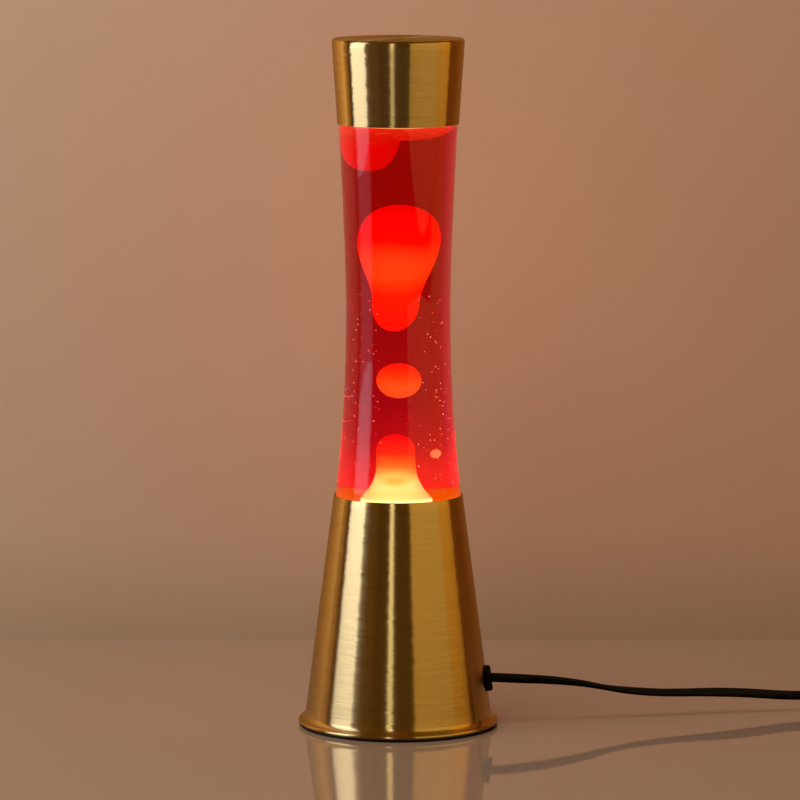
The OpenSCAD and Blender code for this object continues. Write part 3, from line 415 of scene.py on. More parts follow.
# fine moulded grain with a slow mottle under it
def makeMouldGrain():
    group, ins, outs = newGroup("mouldGrain", {"Grain": 2200, "Mottle": 90}, ["Grain", "Mottle"])
    place = objectPlace(group)
    for label, detail in (("Grain", 2), ("Mottle", 4)):
        values = {"Vector": place, "Scale": ins[label], "Detail": detail}
        feed(outs[label], addNode(group, "ShaderNodeTexNoise", values).outputs["Fac"])
    return group


# share of the way up between two heights in metres, bent by a slow noise and tilted along the depth
def makeHeightShare():
    group, ins, outs = newGroup("heightShare", {"Low": 0, "High": 1, "Sway": 0.002, "Tilt": 0}, ["Share"])
    place = objectPlace(group)
    slow = addNode(group, "ShaderNodeTexNoise", {"Vector": place, "Scale": 60, "Detail": 1}).outputs["Fac"]
    split = splitPlace(group, place)
    tilted = arithmetic(group, "MULTIPLY_ADD", split["Y"], ins["Tilt"], split["Z"])
    centred = arithmetic(group, "SUBTRACT", slow, 0.5)
    swayed = arithmetic(group, "MULTIPLY_ADD", centred, ins["Sway"], tilted)
    feed(outs["Share"], remap(group, swayed, 0, 1, ins["Low"], ins["High"]))
    return group


# distance from a middle as a share of three half sizes, in metres
def makeSpotFar():
    sizes = {"X": 0, "Y": 0, "Z": 0, "Wide": 1, "Deep": 1, "High": 1}
    group, ins, outs = newGroup("spotFar", sizes, ["Far"])
    middle = joined(group, ins["X"], ins["Y"], ins["Z"])
    half = joined(group, ins["Wide"], ins["Deep"], ins["High"])
    share = vectorMath(group, "DIVIDE", vectorMath(group, "SUBTRACT", objectPlace(group), middle), half)
    length = addNode(group, "ShaderNodeVectorMath", {0: share}, operation="LENGTH")
    feed(outs["Far"], length.outputs["Value"])
    return group


turnedLines = makeTurnedLines()
mouldGrain = makeMouldGrain()
heightShare = makeHeightShare()
spotFar = makeSpotFar()
lineLean = makeLineLean()


# the groups that measure places take millimetres here
def riseShare(tree, low, high, **more):
    return useGroup(tree, heightShare, {"Low": low * mm, "High": high * mm, **more})["Share"]


def farShare(tree, sizes):
    return useGroup(tree, spotFar, {key: value * mm for key, value in sizes.items()})["Far"]


brassFinish = {
    "light": (0.94, 0.685, 0.29), "deep": (0.78, 0.545, 0.235), "rough": (0.2, 0.27),
    "depth": 0.02, "lineHeight": 0.0002, "anisotropy": 1, "turn": 0.25,
    "lines": {"Across": 40, "Upright": 1150}, "lean": {"Across": 25, "Upright": 1150, "Amount": 0.05},
}


def makeBrass():
    finish = brassFinish
    material, tree, shader = newMaterial("brushedBrass")
    lines = useGroup(tree, turnedLines, finish["lines"])["Lines"]
    lean = useGroup(tree, lineLean, finish["lean"])["Normal"]
    bump(tree, lines, shader, finish["depth"], finish["lineHeight"], lean)
    setSockets(shader, {
        "Base Color": mixColour(tree, lines, finish["deep"], finish["light"]),
        "Roughness": remap(tree, lines, *finish["rough"]), "Metallic": 1, "Tangent": aroundAxis(tree),
        "Anisotropic": finish["anisotropy"], "Anisotropic Rotation": finish["turn"]})
    return material


solidFinish = {"marks": {"Grain": 1800, "Mottle": 80}, "grainHeight": 0.0001}


def makeSolid(name, light, dark, rough, metallic=0, strength=0.1, **more):
    material, tree, shader = newMaterial(name)
    marks = useGroup(tree, mouldGrain, solidFinish["marks"])
    bump(tree, marks["Grain"], shader, strength, solidFinish["grainHeight"])
    setSockets(shader, {
        "Base Color": mixColour(tree, marks["Mottle"], dark, light),
        "Roughness": remap(tree, marks["Mottle"], *rough), "Metallic": metallic, **more})
    return material


white = (1, 1, 1)
glassIor = 1.29
redLiquid = {
    "ior": 1.36, "colour": (0.914, 0.03, 0.04, 1), "density": 88, "low": 130, "high": 260, "sway": 0.012,
    # painted light: glow stands in for the bulb's light in the liquid, fading with height; poolGlow paints
    # light just above the pool, edgeGlow a painted sheen at the thin sides
    "glow": [(0, (0.5, 0.01, 0.008)), (0.07, (0.47, 0.01, 0.008)), (0.13, (0.4, 0.008, 0.008)),
             (0.215, (0.28, 0.005, 0.006)), (0.29, (0.15, 0.002, 0.005)), (0.45, (0.075, 0, 0.003)),
             (1, (0.012, 0, 0))],
    "poolGlow": (0.6, 0.06, 0), "poolTop": 138.2, "poolFade": 0.7, "poolTilt": 0.11, "poolSway": 0.001,
    "edgeGlow": (0.16, 0.01, 0.015), "edgeFrom": 0.2, "edgeFull": 0.36,
    "edgeLeft": 0.35, "edgeAcross": (-0.03, 0.01),
}


def makeGlass():
    material, tree, shader = newMaterial("bottleGlass")
    setSockets(shader, {"Base Color": (*white, 1), "Roughness": 0, "IOR": glassIor, "Transmission Weight": 1})
    return material


# dyed liquid with painted light: its emission stands in for the bulb's light over the lit floor, most just
# above the pool, and a painted sheen at its thin sides, weaker at the left
def makeLiquid():
    dyeAndGlow = redLiquid
    material, tree, shader = newMaterial("dyedLiquidPaintedGlow")
    shine = ramp(tree, riseShare(tree, dyeAndGlow["low"], dyeAndGlow["high"], Sway=dyeAndGlow["sway"]), dyeAndGlow["glow"])
    facing = addNode(tree, "ShaderNodeLayerWeight", {"Blend": 0.5}).outputs["Facing"]
    thin = remap(tree, facing, 0, 1, dyeAndGlow["edgeFrom"], dyeAndGlow["edgeFull"])
    across = remap(tree, acrossShare(tree, *dyeAndGlow["edgeAcross"]), dyeAndGlow["edgeLeft"], 1)
    shine = mixColour(tree, arithmetic(tree, "MULTIPLY", thin, across), shine, dyeAndGlow["edgeGlow"], "ADD")
    poolTop = dyeAndGlow["poolTop"]
    pool = riseShare(tree, poolTop, poolTop - dyeAndGlow["poolFade"], Sway=dyeAndGlow["poolSway"], Tilt=dyeAndGlow["poolTilt"])
    shine = mixColour(tree, pool, shine, dyeAndGlow["poolGlow"])
    setSockets(shader, {
        "Base Color": (*white, 1), "Roughness": 0, "IOR": dyeAndGlow["ior"], "Transmission Weight": 1,
        "Specular Tint": (0, 0, 0, 1), "Emission Color": shine, "Emission Strength": 1})
    volume = addNode(tree, "ShaderNodeVolumeAbsorption", {"Color": dyeAndGlow["colour"], "Density": dyeAndGlow["density"]})
    feed(tree.nodes["Material Output"].inputs["Volume"], volume.outputs["Volume"])
    return material


# under its painted glow the wax is dim, its own colour a small share of that glow, so that light from outside
# hardly changes it
waxBody = {"dim": 0.7, "deep": (0.02, 0, 0), "rough": 0.5}


# lit wax with painted light: its emission stands in for the bulb's light and follows the height; it can dim
# past an edge, take another painted colour in a spot and carry lighter painted lines
def makeWax(name, low, high, stops, strength, sway=0.004, edge=None, spot=None, streaks=None):
    material, tree, shader = newMaterial(name)
    shine = ramp(tree, riseShare(tree, low, high, Sway=sway), stops)
    if spot:
        inside = remap(tree, farShare(tree, spot["sizes"]), 1, 0, spot["soft"], 1)
        shine = mixColour(tree, inside, shine, spot["colour"])
    if edge:
        outside = remap(tree, farShare(tree, edge["sizes"]), 0, 1, 1, edge["soft"])
        shine = mixColour(tree, outside, shine, edge["colour"])
    if streaks:
        lines = useGroup(tree, turnedLines, streaks["lines"])["Lines"]
        light = remap(tree, lines, 0, 1, streaks["from"], 1)
        lighter = arithmetic(tree, "MULTIPLY", light, riseShare(tree, streaks["low"], high))
        shine = mixColour(tree, lighter, shine, streaks["colour"])
    setSockets(shader, {
        "Base Color": mixColour(tree, waxBody["dim"], shine, waxBody["deep"]), "Emission Color": shine,
        "Emission Strength": strength, "Roughness": waxBody["rough"], "Specular IOR Level": 0})
    return material


dull = {"Specular IOR Level": 0.14}
soot = ((0.007, 0.0055, 0.0045), (0.003, 0.0024, 0.002))
finishes = {
    "brass": makeBrass(),
    "pvc": makeSolid("leadSheath", *soot, (0.36, 0.46), strength=0.15, **dull),
    "plastic": makeSolid("mouldedBlack", *soot, (0.36, 0.48), strength=0.2, **dull),
    "rubber": makeSolid("footRubber", (0.03, 0.029, 0.028), (0.014, 0.014, 0.014), (0.6, 0.75), strength=0.3),
    "steel": makeSolid("platedSteel", (0.66, 0.67, 0.69), (0.48, 0.49, 0.51), (0.28, 0.42), metallic=1),
    "contact": makeSolid("contactBrass", (0.86, 0.66, 0.3), (0.7, 0.5, 0.2), (0.22, 0.36), metallic=1),
    "ceramic": makeSolid("glazedCeramic", (0.86, 0.85, 0.8), (0.76, 0.74, 0.68), (0.12, 0.22), strength=0.05),
    "liner": makeSolid("whiteLiner", (0.82, 0.81, 0.78), (0.72, 0.71, 0.68), (0.45, 0.55)),
    "tinplate": makeSolid("goldTinplate", (0.82, 0.62, 0.26), (0.64, 0.45, 0.16), (0.25, 0.4), metallic=1),
    "liveCore": makeSolid("brownCore", (0.16, 0.06, 0.022), (0.09, 0.032, 0.012), (0.38, 0.5)),
    "neutralCore": makeSolid("blueCore", (0.02, 0.065, 0.28), (0.012, 0.035, 0.17), (0.38, 0.5)),
    "glass": makeGlass(),
    "liquid": makeLiquid(),
}
hotFilament = {"cool": (1, 0.45, 0.12), "hot": (1, 0.62, 0.25), "strength": 6, "body": (0.2, 0.2, 0.2, 1)}


def makeFilament():
    material, tree, shader = newMaterial("hotFilament")
    mottle = useGroup(tree, mouldGrain, {"Grain": 9000, "Mottle": 600})["Mottle"]
    setSockets(shader, {
        "Emission Color": mixColour(tree, mottle, hotFilament["cool"], hotFilament["hot"]),
        "Emission Strength": hotFilament["strength"], "Base Color": hotFilament["body"]})
    return material


finishes["filament"] = makeFilament()
print("materials:", len(finishes))


def dress(obj, finish):
    obj.data.materials.clear()
    obj.data.materials.append(finishes[finish])


for piece in (leadFirst, leadSecond):
    dress(piece, "pvc")


def standFor(obj, body, slot, *cad):
    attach(obj, body)
    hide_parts(*cad)


def spin(name, outline, finish, *place):
    obj = lathe(name, outline, segments=256)
    dress(obj, finish)
    standFor(obj, *place)
    return obj


# spun base: straight cone, rolled rim, flare and rolled lip, in millimetres
base = {
    "height": 134, "rimRadius": 36.9, "coneRadius": 54.4, "lipRadius": 57.7, "wall": 0.8,
    "lipDiameter": 2.6, "lipGap": 1.2, "flareRadius": 4, "flangeInside": 43,
}


def makeBase():
    cone, wall, flange = base["coneRadius"], base["wall"], base["flangeInside"]
    slope = (cone - base["rimRadius"]) / base["height"]
    tilt = math.degrees(math.atan(slope))
    across = wall / math.cos(math.atan(slope))
    lip = base["lipDiameter"] / 2
    lipX, lipZ = base["lipRadius"] - lip, base["lipGap"] + lip
    flare = base["flareRadius"]
    reach = flare / math.cos(math.atan(slope))
    # the flare's middle is where it touches both the cone and the lip
    gap = cone + reach - lipX
    rise = slope * gap + lipZ
    square = 1 + slope ** 2
    root = math.sqrt(rise * rise - square * (gap * gap + lipZ ** 2 - (flare + lip) ** 2))
    flareZ = (rise + root) / square
    flareX = cone - slope * flareZ + reach
    turn = math.degrees(math.atan2(flareZ - lipZ, flareX - lipX))
    flangeLow = lipZ - wall / 2
    flangeTop = flangeLow + wall
    lipFrom = 180 + math.degrees(math.asin(wall / base["lipDiameter"]))
    rimZ = base["height"] - wall / 2
    rimX = cone - slope * rimZ - across / 2
    outer = arc(flareX, flareZ, flare, 180 + turn, 180 + tilt, 12)
    outline = ([(flange, flangeLow)] + arc(lipX, lipZ, lip, lipFrom, 360 + turn, 24) + outer
               + straight(outer[-1], (rimX + wall / 2, rimZ), 24)
               + arc(rimX, rimZ, wall / 2, tilt, 180 + tilt, 10)
               + [(cone - slope * flangeTop - across, flangeTop), (flange, flangeTop)])
    return spin("spunBase", outline, "brass", "base", "brass_finish", "base_shell")


cap = {"low": 346.5, "height": 48.5, "lowRadius": 34.6, "topRadius": 37.8, "wall": 0.5, "edgeRadius": 1.8}


def makeCap():
    low, radius, wall, edge = cap["low"], cap["lowRadius"], cap["wall"], cap["edgeRadius"]
    top = low + cap["height"]
    edgeZ, edgeX = top - edge, cap["topRadius"] - edge
    outline = ([(0, top - wall)] + arc(edgeX, edgeZ, edge - wall, 90, 0, 8)
               + [(radius - wall, low), (radius, low)]
               + straight((radius, low), (cap["topRadius"], edgeZ), 12)
               + arc(edgeX, edgeZ, edge, 0, 90, 12) + [(0, top)])
    return spin("spunCap", outline, "brass", "cap", "brass_finish", "cap_shell")


# bottle: the same curve as the part; the liquid reaches a little into the glass, so that no air shows between
bottle = {
    "low": 118, "height": 237.5, "waist": 245, "waistRadius": 29.95, "lowRadius": 35.79, "topRadius": 33.8,
    "curveLow": 136, "curveTop": 343.5, "lowPower": 2.2, "topPower": 1.4, "wall": 2.2, "floor": 4,
    "heel": 5, "shoulder": 8, "neckRadius": 13.2, "neckHeight": 20, "neckFillet": 2, "overlap": 0.15,
    "surface": 346, "steps": 80,
}


def bottleRadius(height):
    waist, radius = bottle["waist"], bottle["waistRadius"]
    if height <= bottle["curveLow"]:
        return bottle["lowRadius"]
    if height < waist:
        share = (waist - height) / (waist - bottle["curveLow"])
        return radius + (bottle["lowRadius"] - radius) * share ** bottle["lowPower"]
    if height < bottle["curveTop"]:
        share = (height - waist) / (bottle["curveTop"] - waist)
        return radius + (bottle["topRadius"] - radius) * share ** bottle["topPower"]
    return bottle["topRadius"]


def makeBottle():
    low, wall, heel, shoulder = bottle["low"], bottle["wall"], bottle["heel"], bottle["shoulder"]
    lowRadius, topRadius, surface = bottle["lowRadius"], bottle["topRadius"], bottle["surface"]
    neck, fillet = bottle["neckRadius"], bottle["neckFillet"]
    top = low + bottle["height"]
    mouth, bore = top + bottle["neckHeight"], neck - wall
    heights = spread(bottle["curveLow"], bottle["curveTop"], bottle["steps"])
    outer = ([(0, low)] + arc(lowRadius - heel, low + heel, heel, -90, 0, 10)
             + [(bottleRadius(height), height) for height in heights]
             + arc(topRadius - shoulder, top - shoulder, shoulder, 0, 90, 12)
             + arc(neck + fillet, top + fillet, fillet, 270, 180, 8) + [(neck, mouth), (bore, mouth)])
    inTop, inShoulder = top - wall, shoulder - wall / 2
    inFloor, inHeel = low + bottle["floor"], heel - wall / 2
    inner = ([(bore, inTop)] + arc(topRadius - wall - inShoulder, inTop - inShoulder, inShoulder, 90, 0, 12)
             + [(bottleRadius(height) - wall, height) for height in reversed(heights)]
             + arc(lowRadius - wall - inHeel, inFloor + inHeel, inHeel, 0, -90, 10) + [(0, inFloor)])
    spin("waistedBottle", outer + inner, "glass", "bottle", "clear_glass", "bottle_glass")
    inFloor -= bottle["overlap"]
    wall -= bottle["overlap"]
    outline = ([(0, inFloor)] + arc(lowRadius - wall - inHeel, inFloor + inHeel, inHeel, -90, 0, 10)
               + [(bottleRadius(height) - wall, height) for height in heights + [surface]] + [(0, surface)])
    spin("dyedLiquidPaintedGlow", outline, "liquid", "bottle", "red_liquid", "liquid")


# wax: glowing shapes, a little uneven; the glow is painted light
wax = {
    "poolLow": 122.1, "poolTop": 132.6, "poolRadius": 33.4, "corner": 3.9,
    "moundTop": 169, "moundRadius": 8.1, "moundFoot": 14.3, "moundDome": 9, "moundX": -1, "moundPower": 3.3,
    "surface": 346, "filmLow": 345.8, "filmTop": 347.2, "filmRadius": 31.3, "filmIn": 0.6,
    "lensX": 4, "lensRadius": 20, "lensDeep": 8,
    "dropX": -13.2, "dropRadius": 14.4, "dropLow": 320.8, "dropPower": 2.5,
    "grain": 0.45, "smoothShare": 0.5, "smoothTimes": 12, "segments": 96,
    "largeLow": 228.5, "largeTailTop": 245, "largeHead": 279.4, "largeHigh": 301.2, "largeRadius": 17.7,
    "largeTail": 10, "largeTopX": 0.8, "largeLowX": -1.4, "largePower": 2.2,
    "smallX": 0.3, "smallMid": 199.9, "smallRadius": 9.65, "smallHalf": 10.1, "smallSegments": 96,
    "dropletX": 16, "dropletMid": 157.2, "dropletRadius": 2.45, "dropletHalf": 2.45, "dropletSegments": 48,
}
# how far each piece is pushed in millimetres, how fast that changes, and a seed
uneven = {"mound": (0.4, 60, 3), "drop": (0.5, 60, 8), "large": (0.5, 45, 12), "small": (0.3, 70, 21),
          "droplet": (0.15, 150, 30)}
noise.seed_set(1)  # without it, Blender shifts the noise anew in each session


def wobble(obj, amount, scale, seed):
    for vertex in obj.data.vertices:
        push = noise.noise_vector(vertex.co * scale + Vector((seed, seed * 2.3, seed * 0.7)))
        vertex.co += push * amount * mm
    obj.data.update()


def makeMound():
    bend = wax["moundTop"] - wax["moundDome"]
    radius, foot, rim = wax["moundRadius"], wax["moundFoot"], wax["poolRadius"]
    corner, low, top = wax["corner"], wax["poolLow"], wax["poolTop"]
    flank = [(radius + (foot - radius) * share ** wax["moundPower"], bend - (bend - top) * share)
             for share in spread(1, 0, 18)]
    dome = oval(radius, wax["moundDome"], bend, range(5, 90, 5))
    pool = [(0, low)] + arc(rim - corner, low + corner, corner, -90, 0, 8) + [(rim, top)]
    outline = pool + flank + dome + [(0, wax["moundTop"])]
    obj = lathe("waxMound", outline, segments=wax["segments"], sharp=30)
    wobble(obj, *uneven["mound"])
    for vertex in obj.data.vertices:
        inside = foot + 1 - math.hypot(vertex.co.x, vertex.co.y) / mm
        vertex.co.x += wax["moundX"] * mm * ease(inside)
    standFor(obj, "bottle", "red_wax", "wax_pool")
    return obj


# one skin round overlapping pieces
def runTogether(name, pieces):
    obj = asObject(name, gathered(pieces))
    skin = obj.modifiers.new("skin", "REMESH")
    skin.mode, skin.voxel_size = "VOXEL", wax["grain"] * mm
    soft = obj.modifiers.new("soft", "SMOOTH")
    soft.factor, soft.iterations = wax["smoothShare"], wax["smoothTimes"]
    keepShape(obj, sharp=60)
    return obj


# the film, the lens under it and the hanging drop, run together
def makeTopWax():
    top, rim, segments = wax["surface"], wax["filmRadius"], wax["segments"]
    low, high, skin = wax["filmLow"], wax["filmTop"], top + wax["filmIn"]
    film = lathe("waxFilm", [(0, low), (rim, low), (rim, high), (0, high)], segments=segments)
    radius, deep = wax["lensRadius"], wax["lensDeep"]
    bowl = oval(radius, deep, top, range(-84, 1, 6))
    lens = lathe("waxLens", [(0, top - deep)] + bowl + [(radius, skin), (0, skin)],
                 segments=segments, centre=(wax["lensX"], 0))
    radius, deep, power = wax["dropRadius"], top - wax["dropLow"], 2 / wax["dropPower"]
    belly = oval(radius, -deep, top, range(87, -1, -3), power)
    drop = lathe("waxDrop", [(0, wax["dropLow"])] + belly + [(radius, skin), (0, skin)],
                 segments=segments, centre=(wax["dropX"], 0))
    wobble(drop, *uneven["drop"])
    obj = runTogether("waxTop", [film, lens, drop])
    standFor(obj, "bottle", "red_wax", "wax_top")
    return obj


# the small piece and the droplet
def makeBall(key, body, cad):
    middle, half = wax[key + "Mid"], wax[key + "Half"]
    rows = oval(wax[key + "Radius"], half, middle, range(-84, 90, 6))
    obj = lathe("wax" + key.capitalize(), [(0, middle - half)] + rows + [(0, middle + half)],
                segments=wax[key + "Segments"], centre=(wax[key + "X"], 0), sharp=80)
    wobble(obj, *uneven[key])
    standFor(obj, body, "red_wax", cad)
    return obj


# the large piece: a tall head that eases into a narrower tail, leaning a little
def makeLarge():
    low, tailTop, head, high = wax["largeLow"], wax["largeTailTop"], wax["largeHead"], wax["largeHigh"]
    tail, radius, power = wax["largeTail"], wax["largeRadius"], 2 / wax["largePower"]
    rows = oval(tail, tailTop - low, tailTop, spread(-90, 0, 24)[1:-1])
    rows += [(tail + (radius - tail) * ease(share), tailTop + (head - tailTop) * share)
             for share in spread(0, 1, 24)[:-1]]
    rows += oval(radius, high - head, head, spread(0, 90, 24)[:-1], power)
    obj = lathe("waxLarge", [(0, low)] + rows + [(0, high)], segments=wax["segments"], sharp=80)
    for vertex in obj.data.vertices:
        share = ease((vertex.co.z / mm - low) / (high - low))
        vertex.co.x += (wax["largeLowX"] + (wax["largeTopX"] - wax["largeLowX"]) * share) * mm
    wobble(obj, *uneven["large"])
    standFor(obj, "large_blob", "red_wax", "wax_large_blob")
    return obj


# specks of wax adrift in the liquid, clear of where the free wax drifts and of the middle of the front
specks = {
    "low": 138, "high": 252, "shares": (0.56, 0.68, 0.8), "rows": 12, "segments": 48, "shell": 0.01,
    "clear": 8, "count": 150, "radius": 0.42, "smallest": 0.45, "seed": 14,
    # painted light: strength and stops give each speck a pale glow of its own
    "strength": 1.1, "stops": [(0, (1, 0.75, 0.55)), (1, (1, 0.6, 0.5))],
}


# grains of random size on the faces; sockets 2 and 3 of the random value are its least and its most
def makeScatter():
    group = bpy.data.node_groups.new("scatterSpecks", "GeometryNodeTree")
    face = group.interface
    for label in ("Geometry", "Density", "Radius", "Seed", "Material"):
        kind = {"Density": "Float", "Radius": "Float", "Seed": "Int"}.get(label, label)
        face.new_socket(label, in_out="INPUT", socket_type="NodeSocket" + kind)
    face.new_socket("Geometry", in_out="OUTPUT", socket_type="NodeSocketGeometry")
    ins, outs = group.nodes.new("NodeGroupInput").outputs, group.nodes.new("NodeGroupOutput").inputs
    points = addNode(group, "GeometryNodeDistributePointsOnFaces", {
        "Mesh": ins["Geometry"], "Density": ins["Density"], "Seed": ins["Seed"]})
    grain = addNode(group, "GeometryNodeMeshIcoSphere", {"Subdivisions": 2, "Radius": ins["Radius"]})
    size = addNode(group, "FunctionNodeRandomValue", {
        2: specks["smallest"], 3: 1, "Seed": ins["Seed"]}, data_type="FLOAT")
    place = addNode(group, "GeometryNodeInstanceOnPoints", {
        "Points": points.outputs["Points"], "Instance": grain.outputs["Mesh"], "Scale": size.outputs[1]})
    real = addNode(group, "GeometryNodeRealizeInstances", {"Geometry": place.outputs["Instances"]})
    paint = addNode(group, "GeometryNodeSetMaterial", {
        "Geometry": real.outputs["Geometry"], "Material": ins["Material"]})
    feed(outs["Geometry"], paint.outputs["Geometry"])
    return group


def makeSpecks():
    shells = []
    for share in specks["shares"]:
        heights = spread(specks["low"], specks["high"], specks["rows"])
        rows = [((bottleRadius(height) - bottle["wall"]) * share, height) for height in heights]
        inner = [(radius - specks["shell"], height) for radius, height in reversed(rows)]
        shells.append(lathe("speckShell", rows + inner, segments=specks["segments"]))
    work = gathered(shells)
    spots = [(patch, patch.calc_center_median()) for patch in work.faces]
    middle = [patch for patch, spot in spots if spot.y < 0 and abs(spot.x) < specks["clear"] * mm]
    bmesh.ops.delete(work, geom=middle, context="FACES")
    area = sum(patch.calc_area() for patch in work.faces)
    obj = asObject("liquidSpecks", work)
    look = [specks[key] for key in ("low", "high", "stops", "strength")]
    # the specks use the wax glow, which is painted light
    finishes["speck"] = makeWax("waxSpeck", *look)
    scatter = obj.modifiers.new("scatter", "NODES")
    scatter.node_group = makeScatter()
    values = {"Density": specks["count"] / area, "Radius": specks["radius"] * mm, "Seed": specks["seed"],
              "Material": finishes["speck"]}
    for item in scatter.node_group.interface.items_tree:
        if item.in_out == "INPUT" and item.name in values:
            scatter[item.identifier] = values[item.name]
    keepShape(obj, sharp=80)
    dress(obj, "speck")
    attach(obj, "bottle")
    print("specks:", len(obj.data.polygons), "faces")


spunBase = makeBase()
spunCap = makeCap()
makeBottle()
mound = makeMound()
topWax = makeTopWax()
large = makeLarge()
small = makeBall("small", "small_blob", "wax_small_blob")
droplet = makeBall("droplet", "droplet", "wax_droplet")
makeSpecks()
# painted light: each piece's emission stands in for the bulb's light through the liquid, paler low and redder
# high; the mound's edge paints shade over its back and sides, its spot an oranger patch near its foot, and
# the top's spot a painted highlight along the film
glow = {
    "mound": {"low": 131, "high": 169, "strength": 8, "stops": [
        (0, (0.375, 0.56, 0.2)), (0.12, (0.375, 0.6, 0.15)), (0.2, (0.375, 0.8, 0.22)),
        (0.29, (0.345, 0.84, 0.19)), (0.37, (0.31, 0.62, 0.115)), (0.44, (0.265, 0.36, 0.048)),
        (0.51, (0.225, 0.176, 0.013)), (0.59, (0.195, 0.1, 0.0015)), (0.71, (0.165, 0.019, 0)),
        (1, (0.128, 0, 0))],
        "spot": {"sizes": {"X": -1.6, "Z": 143, "Wide": 8.5, "High": 4.6, "Deep": 1000},
                 "soft": 0.3, "colour": (0.33, 0.505, 0.066)},
        "edge": {"sizes": {"X": -1, "Y": -30, "Wide": 18.5, "Deep": 46, "High": 1e9},
                 "soft": 1.04, "colour": (0.045, 0.015, 0)}},
    "large": {"low": 228, "high": 301, "strength": 1.2, "stops": [
        (0, (1, 0.04, 0)), (0.12, (0.95, 0.03, 0)), (0.3, (0.95, 0.04, 0)), (0.45, (1, 0.16, 0.01)),
        (0.58, (1, 0.11, 0.01)), (0.72, (0.95, 0.004, 0)), (1, (0.82, 0, 0))]},
    "small": {"low": 189, "high": 210, "strength": 1.5, "stops": [
        (0, (1, 0.4, 0.05)), (0.4, (1, 0.31, 0.02)), (0.7, (1, 0.13, 0)), (1, (1, 0.04, 0))]},
    "top": {"low": 320, "high": 347, "strength": 1, "sway": 0.001, "stops": [
        (0, (0.82, 0.01, 0)), (0.5, (0.82, 0, 0)), (0.72, (0.74, 0.02, 0)),
        (1, (0.85, 0.06, 0.02))],
        "spot": {"sizes": {"X": -0.5, "Z": 346.2, "Wide": 17, "High": 1, "Deep": 1000},
                 "soft": 0.5, "colour": (1, 0.42, 0.16)},
        "streaks": {"low": 336, "colour": (1, 0.25, 0.1), "from": 0.62,
                    "lines": {"Across": 90, "Upright": 500}}},
    "droplet": {"low": 154, "high": 160, "strength": 1.5, "stops": [
        (0, (1, 0.95, 0.35)), (1, (1, 0.8, 0.2))]},
}
litPieces = {"mound": mound, "large": large, "small": small, "top": topWax, "droplet": droplet}
for key, piece in litPieces.items():
    finishes[key] = makeWax("wax" + key.capitalize(), **glow[key])
    dress(piece, key)
print("lamp: base, cap, bottle, liquid and wax")


# pieces that keep the part's own solids
solids = {
    "rubber": ["foot_ring", "seat_gasket"],
    "steel": ["bottom_cover", "cover_screws", "bottle_seat", "holder_bracket", "bracket_rivets",
              "holder_nipple", "holder_nut", "switch_screws", "bulb_contact", "bulb_screw_shell",
              "wire_coil"],
    "plastic": ["holder_cap", "cord_gland", "gland_nut", "switch_base", "switch_top", "switch_rocker",
                "plug_body", "plug_pin_sleeves", "coil_ties", "cap_insert", "bulb_insulator"],
    "ceramic": ["holder_body"],
    "liner": ["crown_liner"],
    "contact": ["holder_sleeve", "holder_contact", "holder_terminals", "switch_terminals", "switch_bridge",
                "plug_pins", "bulb_leads"],
    "tinplate": ["crown_cap"],
    "liveCore": ["live_wire"],
    "neutralCore": ["neutral_wire", "switch_through_wire"],
    "glass": ["bulb_envelope", "bulb_stem"],
    "filament": ["bulb_filament"],
}
for finish, names in solids.items():
    for name in names:
        dress(nodes[name], finish)


# studio: a pale table and a wall close behind, both with painted light and shade, in metres, the wall's foot
# in millimetres
studio = {
    "wallY": 0.268, "reach": 5, "wallHigh": 0.65, "wallSpan": 0.25,
    # painted light: wallLeft and wallRight make the wall cooler at the left and warmer at the right
    "wallLeft": (0.527, 0.374, 0.251), "wallRight": (0.482, 0.302, 0.19),
    "wallRough": 0.9, "wallGrain": 1e-5, "wallDark": (0.97, 0.97, 0.97),
    "tableColour": (0.277, 0.185, 0.125), "tableMottle": (0.97, 1.03), "tableGrain": 2e-6, "tableCoat": 0.25,
    # painted shade: tableShade darkens the table in what the lamp mirrors, footShade the foot of the wall
    "tableShade": (0.114, 0.072, 0.012), "footShade": (0.78, 0.83, 0.79), "footHigh": 70, "footSway": 0.01,
    "world": (0.03, 0.024, 0.018), "worldSeen": (0.42, 0.3, 0.22), "worldMirrored": (0.08, 0.038, 0.002),
    "worldFrom": 0.17, "worldFull": 0.28,
    # painted reflection: in what the brass mirrors, the wall is painted with a brighter band and darker ends
    # across its width
    "mirrorFrom": -1.6, "mirrorTo": 0.4, "mirrorGain": 1.5, "mirrorStops": [
        (0, (0.5, 0.33, 0.05)), (0.39, (0.5, 0.33, 0.05)), (0.43, (0.93, 0.92, 0.56)),
        (0.51, (0.93, 0.91, 0.55)), (0.6, (0.77, 0.67, 0.34)), (0.685, (0.52, 0.42, 0.21)),
        (0.75, (0.38, 0.32, 0.15)), (0.86, (0.38, 0.29, 0.125)), (0.94, (0.36, 0.25, 0.08)),
        (1, (0.32, 0.18, 0.03))],
}
